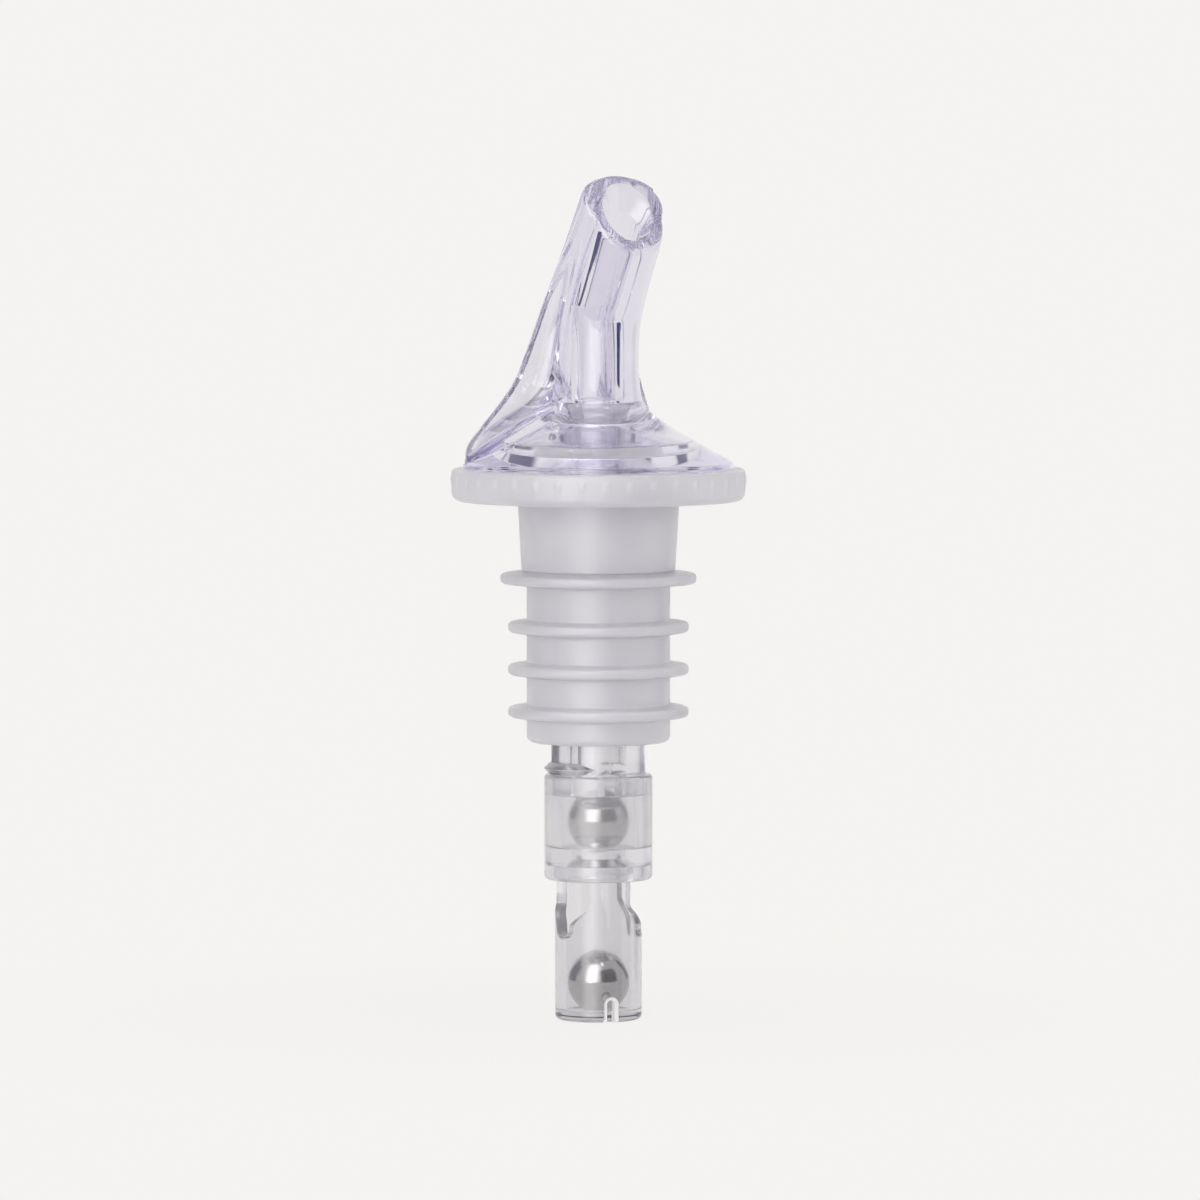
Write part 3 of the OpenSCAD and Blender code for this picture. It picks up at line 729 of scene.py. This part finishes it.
def make_spout():
    """Clear spout as one closed skin: outside, rounded mouth, bores, plug and hollow bell."""
    mouth_h = BEND_H + LEAN_LEN * math.cos(POUR_LEAN)
    foot_h = BASE_RIM_H + (TILT_LOW_H - BASE_RIM_H) * np.linspace(0, 1, FOOT_LEVELS + 1) ** LEVEL_CROWDING
    rise = np.linspace(0, 1, TILT_LEVELS + 1)[1:]
    lip_h = mouth_h - LIP_SOFT / math.cos(MOUTH_TILT - POUR_LEAN) * math.cos(POUR_LEAN)
    tilt_h = TILT_LOW_H + (lip_h - TILT_LOW_H) * rise
    heights = np.concatenate((foot_h, tilt_h, [mouth_h]))
    tilts = np.concatenate((np.zeros(FOOT_LEVELS + 1), MOUTH_TILT * eased(rise), [MOUTH_TILT]))
    outside = spout_outside(heights, tilts)
    mouth = outside[-1]
    lip = outside[-2]
    outside = outside[:-1]

    mouth_middle = np.array((0, -axis_shift(mouth_h), BASE_Z + mouth_h))
    flare_middle = mouth_middle - LEAN_ALONG * MOUTH_BORE_DEPTH / (LEAN_ALONG @ MOUTH_NORMAL)
    mouth_turns = np.arctan2(mouth[:, 0], (mouth - mouth_middle) @ LEAN_FORWARD)
    low_turns = np.arctan2(outside[0][:, 0], -outside[0][:, 1])
    flare = mouth_slice(mouth_turns, MOUTH_BORE_R, mouth_middle)
    bore = bore_rings(low_turns, mouth_turns, flare_middle)
    inward = flare - mouth
    width = np.linalg.norm(inward, axis=1)[:, None]
    lip_end = mouth + inward * np.minimum(LIP_SOFT / width, EDGE_SHARE)
    flare_start = flare - inward * np.minimum(BORE_SOFT / width, EDGE_SHARE)
    flare_fall = bore[0] - flare
    outer_edge = bend_through(lip, mouth, lip_end, LIP_STEPS)[1:]
    flare_edge = bend_through(flare_start, flare, flare + flare_fall * FLARE_EDGE_SHARE, LIP_STEPS)
    bore_edge = bend_through(flare + flare_fall * BORE_EDGE_START, bore[0], bore[1], LIP_STEPS)
    junction = junction_rings(np.arctan2(bore[-1][:, 0], -bore[-1][:, 1]), low_turns)

    inside = spout_inside(low_turns)[1:-1]
    halves = np.concatenate((outside, outer_edge, flare_edge, bore_edge, bore[2:], junction, inside))
    spout = ringed("spout_shell", whole_ring(halves))
    vent_turns = np.arange(VENT_STEPS) * math.tau / VENT_STEPS
    vent_ring = [(VENT_REACH + VENT_R * math.cos(turn), VENT_R * math.sin(turn)) for turn in vent_turns]
    vent_loops = [
        [placed(radial, tangent, BASE_Z + h, VENT_DIR) for radial, tangent in vent_ring]
        for h in (VENT_LOW_H, VENT_HIGH_H)
    ]
    combined(spout, prism("vent", *vent_loops))
    dressed(spout, SPOUT_PLASTIC, "spout")
    let_light_through(spout)


# Collar and flange sizes
COLLAR_TOP_EDGE = 0.8
COLLAR_LOW_EDGE = 2.0
RIB_COUNT = 38
RIB_TURN = math.radians(3.3)
RIB_PROUD = 0.15
RIB_W = 0.9
RIB_STEPS = 16
RIB_LEVELS = 9
RIB_END = 0.3
RIM_NEAR = 0.01
CORK_NECK_R = 10.3
FLANGE_REACH = 2.1
FLANGE_T = 1.55


def make_collar():
    """Frosted collar with short grip ribs on its rim."""
    rim = collar_high[1] - RIB_PROUD
    hole_r = CORK_NECK_R + COLLAR_GAP
    seat_r = CORK_NECK_R + FLANGE_REACH + COLLAR_GAP
    seat_z = cork_high[2] - FLANGE_T - SEAT_GAP
    top_z = BASE_Z - SEAT_GAP
    rib_low = COLLAR_LOW_EDGE
    rib_high = BASE_Z - COLLAR_TOP_EDGE
    wall = [(rim, z, 0) for z in np.linspace(rib_low, rib_high, RIB_LEVELS)]
    outline = filleted(
        [(hole_r, 0, EASED_EDGE), (rim, 0, COLLAR_LOW_EDGE)]
        + wall[1:-1]
        + [(rim, top_z, COLLAR_TOP_EDGE), (seat_r, top_z, SMALL_EDGE)]
        + [(seat_r, seat_z, 0), (hole_r, seat_z, CRISP_EDGE)]
    )
    rings = turned(outline, RIB_COUNT * RIB_STEPS)
    angles = np.arctan2(rings[..., 1], rings[..., 0]) - RIB_TURN
    pitch = math.tau / RIB_COUNT
    beside = (angles + pitch / 2) % pitch - pitch / 2
    crown = np.sqrt(np.clip(1 - (beside * rim / (RIB_W / 2)) ** 2, 0, 1))
    heights = rings[..., 2]
    ends = eased((heights - rib_low) / RIB_END) * eased((rib_high - heights) / RIB_END)
    on_rim = np.hypot(rings[..., 0], rings[..., 1]) > rim - RIM_NEAR
    swell = 1 + RIB_PROUD * crown * ends * on_rim / rim
    rings[..., :2] *= swell[..., None]
    collar = ringed("collar_ring", rings)
    # Painted highlight mask: 1 on the rib crests and 0 off them; the frosted material whitens the crests by
    # it.
    crest_highlight = collar.data.attributes.new("crest_highlight", "FLOAT", "POINT")
    for point, mark in zip(collar.data.vertices, crest_highlight.data):
        mark.value = min(max((math.hypot(point.co.x, point.co.y) / MM - rim) / RIB_PROUD, 0), 1)
    dressed(collar, FROSTED_PLASTIC, "collar")


# Cork sizes
CORK_BORE_R = 7.55
CORK_R = 9.15
NECK_FOOT_R = 9.8
NECK_LEN = 8.8
LAND_LEN = 3.5
CORK_EDGE = 0.9
FIN_R = 11.5
TOP_FIN_Z = -9.9
LOW_FIN_Z = -16.1
LOW_FIN_COUNT = 3
FIN_PITCH = 5.4
FIN_ROOT_T = 1.9
FIN_TIP_T = 1.2


def make_cork():
    """Frosted hollow cork with four sealing fins and a flange under the spout."""
    flange_top = cork_high[2]
    flange_low = flange_top - FLANGE_T
    corners = [
        (CORK_BORE_R, flange_top, EASED_EDGE),
        (CORK_NECK_R + FLANGE_REACH, flange_top, EASED_EDGE),
        (CORK_NECK_R + FLANGE_REACH, flange_low, EASED_EDGE),
        (CORK_NECK_R, flange_low, CRISP_EDGE),
        (CORK_NECK_R, 0, 0),
        (NECK_FOOT_R, -NECK_LEN, RIM_EDGE),
    ]
    fins = [(TOP_FIN_Z, cork_high[0])]
    fins += [(LOW_FIN_Z - i * FIN_PITCH, FIN_R) for i in range(LOW_FIN_COUNT)]
    for z, reach in fins:
        corners += [
            (CORK_R, z + FIN_ROOT_T / 2, SMALL_EDGE),
            (reach, z + FIN_TIP_T / 2, FULL_EDGE),
            (reach, z - FIN_TIP_T / 2, FULL_EDGE),
            (CORK_R, z - FIN_ROOT_T / 2, ROUND_EDGE),
        ]
    corners += [
        (CORK_R, cork_low[2], CORK_EDGE),
        (STEM_R + FIT_GAP, cork_low[2], SMALL_EDGE),
        (STEM_R + FIT_GAP, cork_low[2] + LAND_LEN, EASED_EDGE),
        (CORK_BORE_R, cork_low[2] + LAND_LEN, EASED_EDGE),
    ]
    cork = ringed("cork_sleeve", turned(filleted(corners)))
    dressed(cork, FROSTED_PLASTIC, "cork")


# Stem sizes, and how far a cut runs past what it cuts
STEM_BORE_R = 2.3
STOP_R = 3.4
STOP_DEPTH = 2.2
NOTCH_COUNT = 4
NOTCH_W = 2.2
NOTCH_DEPTH = 1.8
NOTCH_START_R = 0.5
AIR_FLAT = 0.85
AIR_FLAT_TOP = -5.2
LIP_REACH = 1.35
LIP_T = 1.5
LIP_R = 5.0
PAST = 1.0


def make_stem():
    """Clear flow tube with its spigot, notched stop, air flat and crescent lip."""
    low = stem_low[2]
    top = stem_high[2]
    shoulder = BASE_Z + SHOULDER_H
    outline = filleted(
        [
            (STOP_R, low, CRISP_EDGE),
            (STEM_R, low, EASED_EDGE),
            (STEM_R, shoulder, EASED_EDGE),
            (SPIGOT_R, shoulder, SMALL_EDGE),
            (SPIGOT_R, top, LEAD_EDGE),
            (STEM_BORE_R, top, SMALL_EDGE),
            (STEM_BORE_R, low + STOP_DEPTH, SMALL_EDGE),
            (STOP_R, low + STOP_DEPTH, CRISP_EDGE),
        ]
    )
    stem = ringed("stem_tube", turned(outline))
    lip_z = cup_high[2] + LIP_T / 2 + LIP_GAP
    lip_outline = filleted(
        [
            (STEM_BORE_R + PAST, lip_z - LIP_T / 2, 0),
            (LIP_R - LIP_T / 2, lip_z - LIP_T / 2, CRISP_EDGE),
            (LIP_R, lip_z, HAIR_EDGE),
            (LIP_R - LIP_T / 2, lip_z + LIP_T / 2, CRISP_EDGE),
            (STEM_BORE_R + PAST, lip_z + LIP_T / 2, 0),
        ]
    )
    lip_rings = turned(lip_outline)
    lip_rings[..., 0] -= STEM_R + LIP_REACH - LIP_R
    flat_low = lip_z + LIP_T / 2
    flat = (STEM_R - AIR_FLAT, STEM_R + PAST)
    combined(stem, block("air_flat", AIR_DIR, flat, (-STEM_R, STEM_R), (flat_low, AIR_FLAT_TOP)))
    combined(stem, ringed("air_lip", lip_rings), "UNION")
    for i in range(NOTCH_COUNT):
        direction = TAIL_DIR - POUR_DIR + i * math.tau / NOTCH_COUNT
        reach = (NOTCH_START_R, STEM_R + PAST)
        width = (-NOTCH_W / 2, NOTCH_W / 2)
        combined(stem, block("notch", direction, reach, width, (low - PAST, low + NOTCH_DEPTH)))
    dressed(stem, STEM_PLASTIC, "stem")
    let_light_through(stem)


# Cup sizes
CHECK_ROOM = 0.8
THROAT_R = 2.2
LOW_SEAT_R = 3.1
CUP_TOP_EDGE = 0.75
CUP_LOW_EDGE = 1.2


def make_cup():
    """Clear cup with the check ball's chamber, the throat and the two seats."""
    check_r = BALL_R + CHECK_ROOM
    seat_z = CHECK_Z - math.sqrt(BALL_R ** 2 - THROAT_R ** 2) - 2 * SEAT_GAP
    tube_top = tube_high[2] + SEAT_GAP
    stem_seat = stem_low[2] - SEAT_GAP
    outline = filleted(
        [
            (TUBE_R + FIT_GAP, cup_low[2], SMALL_EDGE),
            (CUP_R, cup_low[2], CUP_LOW_EDGE),
            (CUP_R, cup_high[2], CUP_TOP_EDGE),
            (STEM_R + FIT_GAP, cup_high[2], HAIR_EDGE),
            (STEM_R + FIT_GAP, stem_seat, CRISP_EDGE),
            (check_r, stem_seat, SMALL_EDGE),
            (check_r, seat_z, FLOOR_EDGE),
            (THROAT_R, seat_z, CRISP_EDGE),
            (THROAT_R, tube_top + LOW_SEAT_R - THROAT_R, SMALL_EDGE),
            (LOW_SEAT_R, tube_top, CRISP_EDGE),
            (TUBE_R + FIT_GAP, tube_top, CRISP_EDGE),
        ]
    )
    cup = ringed("valve_cup_shell", turned(outline))
    dressed(cup, CUP_PLASTIC, "valve_cup")
    let_light_through(cup)


# Timing tube sizes
TUBE_EDGE = 0.7
DISH_DEPTH = 0.5
WINDOW_TURN = math.radians(76)
WINDOW_HALF_ANGLE = math.radians(47)
WINDOW_H = 7.4
WINDOW_FOOT_R = 1.5
WINDOW_TAPER_H = 3.0
METER_W = 1.0
METER_OUT_W = 1.9
METER_H = 3.3
METER_BITE = 0.3
METER_STEP = 0.45

# Steps along the tube's curves, and the window cut's inner end as a share of the tube's radius
WINDOW_FOOT_STEPS = 12
WINDOW_TAPER_STEPS = 24
METER_STEPS = 20
DISH_STEPS = 8
WINDOW_NEAR_SHARE = 0.25


def window_cut(direction, top_z):
    """Window with radial sides: a round foot, sides that spread softly, and straight sides above."""
    foot_turn = math.asin(WINDOW_FOOT_R / TUBE_R)
    foot_z = cup_low[2] - WINDOW_H + WINDOW_FOOT_R
    foot = [
        (foot_turn * math.sin(turn), foot_z - WINDOW_FOOT_R * math.cos(turn))
        for turn in np.linspace(0, math.pi / 2, WINDOW_FOOT_STEPS + 1)[1:]
    ]
    taper = [
        (foot_turn + (WINDOW_HALF_ANGLE - foot_turn) * eased(share), foot_z + WINDOW_TAPER_H * share)
        for share in np.linspace(0, 1, WINDOW_TAPER_STEPS + 1)[1:]
    ]
    near = TUBE_R * WINDOW_NEAR_SHARE
    far = TUBE_R / math.cos(WINDOW_HALF_ANGLE) + PAST
    corners = ((near, -1), (near, 1), (far, 1), (far, -1))
    levels = [
        [placed(r, 0, z, direction + side * turn) for r, side in corners]
        for turn, z in foot + taper + [(WINDOW_HALF_ANGLE, top_z)]
    ]
    return prism("window", *levels)


def meter_cut(low, width, reaches):
    """Round-topped cut of a width at the tube's foot, between two distances from its axis."""
    half_w = width / 2
    arch_z = low + METER_H - METER_OUT_W / 2
    turns = np.linspace(0, math.pi, METER_STEPS + 1)
    arch = [(half_w * math.cos(turn), arch_z + half_w * math.sin(turn)) for turn in turns]
    loop = arch + [(-half_w, low - PAST), (half_w, low - PAST)]
    return prism("meter", *[[placed(reach, w, z, TAIL_DIR) for w, z in loop] for reach in reaches])


def paint_cut_highlights(tube, bore_r):
    """Painted highlights: a whitened finish on the metering notch's walls and a hazier one on the windows'
    walls, standing in for the light their edges catch.
    """
    meter_top = tube_low[2] + METER_H + FIT_GAP
    window_low = cup_low[2] - WINDOW_H - FIT_GAP
    tube.data.materials.append(NOTCH_HIGHLIGHT_PLASTIC)
    tube.data.materials.append(CUP_PLASTIC)
    for face in tube.data.polygons:
        x, y, z = face.center / MM
        in_front = x * math.cos(TAIL_DIR) + y * math.sin(TAIL_DIR) > 0
        beside = y * math.cos(TAIL_DIR) - x * math.sin(TAIL_DIR)
        in_wall = bore_r + FIT_GAP < math.hypot(x, y) < TUBE_R - FIT_GAP
        in_width = abs(beside) < METER_OUT_W / 2 + FIT_GAP
        in_height = tube_low[2] + FIT_GAP < z < meter_top
        if in_wall and in_front and in_width and in_height:
            face.material_index = 1
        elif in_wall and window_low < z < tube_high[2] - FIT_GAP:
            face.material_index = 2


def make_timing_tube():
    """Clear closed tube with two wide windows, a dished floor and the metering notch."""
    low = tube_low[2]
    top = tube_high[2]
    bore_r = BALL_R + BALL_GAP
    dish_r = BALL_R + SEAT_GAP + BALL_GAP
    dish_low = TIMING_Z - BALL_R - SEAT_GAP
    dish_turn = math.acos(1 - DISH_DEPTH / dish_r)
    dish = [
        (dish_r * math.sin(turn), dish_low + dish_r * (1 - math.cos(turn)), 0)
        for turn in np.linspace(dish_turn, 0, DISH_STEPS + 1)
    ]
    outline = filleted(
        [
            (0, low, 0),
            (TUBE_R, low, TUBE_EDGE),
            (TUBE_R, top, EASED_EDGE),
            (bore_r, top, EASED_EDGE),
            (bore_r, dish_low + DISH_DEPTH, SMALL_EDGE),
        ]
        + dish,
        closed=False,
    )
    tube = ringed("timing_tube_shell", turned(outline), closed=False)
    for turn in (-WINDOW_TURN, WINDOW_TURN):
        combined(tube, window_cut(TAIL_DIR + turn, top + PAST))
    combined(tube, meter_cut(low, METER_W, (bore_r - METER_BITE, TUBE_R + PAST)))
    combined(tube, meter_cut(low, METER_OUT_W, (TUBE_R - METER_STEP, TUBE_R + PAST)))
    dressed(tube, TUBE_PLASTIC, "timing_tube")
    paint_cut_highlights(tube, bore_r)
    let_light_through(tube)


def dress_balls():
    """Polished finish on both balls, which stay as the frame has them."""
    for node in ("check_ball", "timing_ball"):
        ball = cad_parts[node]
        ball.data.materials.clear()
        ball.data.materials.append(POLISHED_STEEL)


make_spout()
make_collar()
make_cork()
make_stem()
make_cup()
make_timing_tube()
dress_balls()

# Studio: distances in metres, angles from the camera's own direction, which is turned from the pour side
VIEW_DIR = POUR_DIR + math.radians(-33)
BACKDROP = (0.905, 0.896, 0.880, 1)
SURROUNDINGS = (0.86, 0.86, 0.86, 1)
FLOOR_PAPER = (0.85, 0.85, 0.84, 1)
FLOOR_R = 6.0
FLOOR_STEPS = 96
FLOOR_DROP = 0.0001
SHADOW_START = 0.02
SHADOW_REACH = 0.12
SHADOW_GLOW = 0.75
CAMERA_AWAY = 1.2
CAMERA_UP = 0.062
AIM_UP = -0.0127
AIM_RIGHT = 0.0002
CAMERA_LENS = 283.0
CAMERA_SENSOR = 36.0
LIGHT_BOUNCES = 48


def studio_point(turn, away, up):
    """Point at a turn to the right of the camera's direction, a level distance and a height."""
    return Vector((away * math.cos(VIEW_DIR + turn), away * math.sin(VIEW_DIR + turn), up))


def facing(thing, target):
    """Turn a camera, lamp or card towards a point."""
    thing.rotation_euler = (Vector(target) - thing.location).to_track_quat("-Z", "Y").to_euler()


def backdrop_seen(tree):
    """Mask of the rays that show the backdrop's own colour: camera, glossy and transmission rays."""
    path = shader_node(tree, "ShaderNodeLightPath")
    mirror = shader_node(tree, "ShaderNodeMath", operation="MAXIMUM")
    seen = shader_node(tree, "ShaderNodeMath", operation="MAXIMUM")
    tree.links.new(path.outputs["Is Glossy Ray"], mirror.inputs[0])
    tree.links.new(path.outputs["Is Transmission Ray"], mirror.inputs[1])
    tree.links.new(path.outputs["Is Camera Ray"], seen.inputs[0])
    tree.links.new(mirror.outputs["Value"], seen.inputs[1])
    return seen.outputs["Value"]


def make_world():
    """Even pale surroundings, a little dimmer as a light than they look."""
    world = bpy.data.worlds.new("studio")
    world.use_nodes = True
    tree = world.node_tree
    tree.nodes.clear()
    light = shader_node(tree, "ShaderNodeBackground", {"Color": SURROUNDINGS})
    looks = shader_node(tree, "ShaderNodeBackground", {"Color": BACKDROP})
    mix = shader_node(tree, "ShaderNodeMixShader")
    output = shader_node(tree, "ShaderNodeOutputWorld")
    tree.links.new(backdrop_seen(tree), mix.inputs["Fac"])
    tree.links.new(light.outputs["Background"], mix.inputs[1])
    tree.links.new(looks.outputs["Background"], mix.inputs[2])
    tree.links.new(mix.outputs["Shader"], output.inputs["Surface"])
    bpy.context.scene.world = world


def make_floor():
    """Pale floor in the backdrop's colour, which keeps a faint shadow."""
    turns = np.arange(FLOOR_STEPS) * math.tau / FLOOR_STEPS
    level = tube_low[2] - FLOOR_DROP / MM
    reach = FLOOR_R / MM
    points = [(reach * math.cos(turn), reach * math.sin(turn), level) for turn in turns]
    floor = new_object("floor", points, [tuple(range(len(points)))])
    material = bpy.data.materials.new("floor_paper")
    material.use_nodes = True
    tree = material.node_tree
    tree.nodes.clear()
    paper = shader_node(tree, "ShaderNodeBsdfDiffuse", {"Color": FLOOR_PAPER})
    glow = shader_node(tree, "ShaderNodeEmission", {"Color": BACKDROP})
    place = shader_node(tree, "ShaderNodeTexCoord")
    away = shader_node(tree, "ShaderNodeVectorMath", operation="LENGTH")
    fade = shader_node(
        tree,
        "ShaderNodeMapRange",
        {"From Min": SHADOW_START, "From Max": SHADOW_REACH, "To Min": SHADOW_GLOW, "To Max": 1.0},
    )
    share = shader_node(tree, "ShaderNodeMath", operation="MULTIPLY")
    tree.links.new(place.outputs["Object"], away.inputs[0])
    tree.links.new(away.outputs["Value"], fade.inputs["Value"])
    tree.links.new(fade.outputs["Result"], share.inputs[1])
    mix = shader_node(tree, "ShaderNodeMixShader")
    output = shader_node(tree, "ShaderNodeOutputMaterial")
    tree.links.new(backdrop_seen(tree), share.inputs[0])
    tree.links.new(share.outputs["Value"], mix.inputs["Fac"])
    tree.links.new(paper.outputs["BSDF"], mix.inputs[1])
    tree.links.new(glow.outputs["Emission"], mix.inputs[2])
    tree.links.new(mix.outputs["Shader"], output.inputs["Surface"])
    floor.data.materials.append(material)
    floor.visible_glossy = False


def make_softbox(name, turn, away, up, width, height, power):
    """Soft lamp that faces the object."""
    lamp = bpy.data.lights.new(name, "AREA")
    lamp.shape = "RECTANGLE"
    lamp.size = width
    lamp.size_y = height
    lamp.energy = power
    made = bpy.data.objects.new(name, lamp)
    bpy.context.scene.collection.objects.link(made)
    made.visible_glossy = False
    made.visible_transmission = False
    made.location = studio_point(turn, away, up)
    facing(made, (0, 0, AIM_UP))


def faded_shade(tree, width, shade, fade):
    """Colour of a card that fades into the backdrop towards its two sides."""
    place = shader_node(tree, "ShaderNodeTexCoord")
    parts = shader_node(tree, "ShaderNodeSeparateXYZ")
    beside = shader_node(tree, "ShaderNodeMath", operation="ABSOLUTE")
    soft = shader_node(
        tree,
        "ShaderNodeMapRange",
        {"From Min": (1 - fade) * width / 2, "From Max": width / 2},
        interpolation_type="SMOOTHSTEP",
    )
    mix = shader_node(tree, "ShaderNodeMix", data_type="RGBA")
    mix.inputs[MIX_A].default_value = (*shade, 1)
    mix.inputs[MIX_B].default_value = BACKDROP
    tree.links.new(place.outputs["Object"], parts.inputs["Vector"])
    tree.links.new(parts.outputs["X"], beside.inputs[0])
    tree.links.new(beside.outputs["Value"], soft.inputs["Value"])
    tree.links.new(soft.outputs["Result"], mix.inputs["Factor"])
    return mix.outputs[MIX_RESULT]


def make_card(name, turn, away, up, width, height, shade, fade=0.0):
    """Card that only shows in polished and clear surfaces, as a dark screen or as a lamp's bright face.

    Over the fade, a share of its half width, its sides turn into the backdrop's colour.
    """
    half_w = width / 2 / MM
    half_h = height / 2 / MM
    points = [(-half_w, -half_h, 0), (half_w, -half_h, 0), (half_w, half_h, 0), (-half_w, half_h, 0)]
    card = new_object(name, points, [(0, 1, 2, 3)])
    card.location = studio_point(turn, away, up)
    facing(card, (0, 0, AIM_UP))
    material = bpy.data.materials.new(name)
    material.use_nodes = True
    tree = material.node_tree
    tree.nodes.clear()
    glow = shader_node(tree, "ShaderNodeEmission", {"Color": (*shade, 1)})
    output = shader_node(tree, "ShaderNodeOutputMaterial")
    tree.links.new(glow.outputs["Emission"], output.inputs["Surface"])
    if fade:
        tree.links.new(faded_shade(tree, width, shade, fade), glow.inputs["Color"])
    card.data.materials.append(material)
    card.visible_camera = False
    card.visible_diffuse = False
    card.visible_shadow = False


def make_camera():
    """Camera at the photograph's viewing angle."""
    lens = bpy.data.cameras.new("camera")
    lens.lens = CAMERA_LENS
    lens.sensor_width = CAMERA_SENSOR
    camera = bpy.data.objects.new("camera", lens)
    bpy.context.scene.collection.objects.link(camera)
    camera.location = studio_point(0, CAMERA_AWAY, CAMERA_UP)
    right = Vector((-math.sin(VIEW_DIR), math.cos(VIEW_DIR), 0))
    facing(camera, Vector((0, 0, AIM_UP)) + right * AIM_RIGHT)
    bpy.context.scene.camera = camera


make_world()
make_floor()
make_softbox("key_softbox", math.radians(-25), away=0.55, up=0.05, width=0.6, height=0.5, power=1.2)
make_card(
    "key_face", math.radians(-22), away=0.6, up=0.25, width=0.87, height=1.1,
    shade=(4.0, 4.0, 3.95), fade=0.9,
)
make_softbox("fill_softbox", math.radians(70), away=0.6, up=0.05, width=0.6, height=0.5, power=0.7)
make_softbox("top_lamp", math.radians(28), away=0.28, up=0.5, width=0.1, height=0.1, power=0.12)
make_card(
    "top_face", math.radians(28), away=0.28, up=0.5, width=0.1, height=0.1,
    shade=(4.0, 4.0, 4.0),
)
make_card(
    "right_card", math.radians(38), away=0.45, up=0.04, width=0.55, height=0.6,
    shade=(0.04, 0.04, 0.06), fade=0.3,
)
make_card(
    "side_card", math.radians(118), away=0.6, up=0.1, width=0.3, height=0.5,
    shade=(0.05, 0.05, 0.16), fade=0.5,
)
make_card(
    "left_card", math.radians(-105), away=0.6, up=0.16, width=0.7, height=0.5,
    shade=(0.05, 0.05, 0.15), fade=0.5,
)
make_camera()

bpy.context.scene.view_settings.view_transform = "Standard"
bpy.context.scene.cycles.max_bounces = LIGHT_BOUNCES
bpy.context.scene.cycles.transmission_bounces = LIGHT_BOUNCES
bpy.context.scene.cycles.glossy_bounces = LIGHT_BOUNCES
bpy.context.view_layer.update()
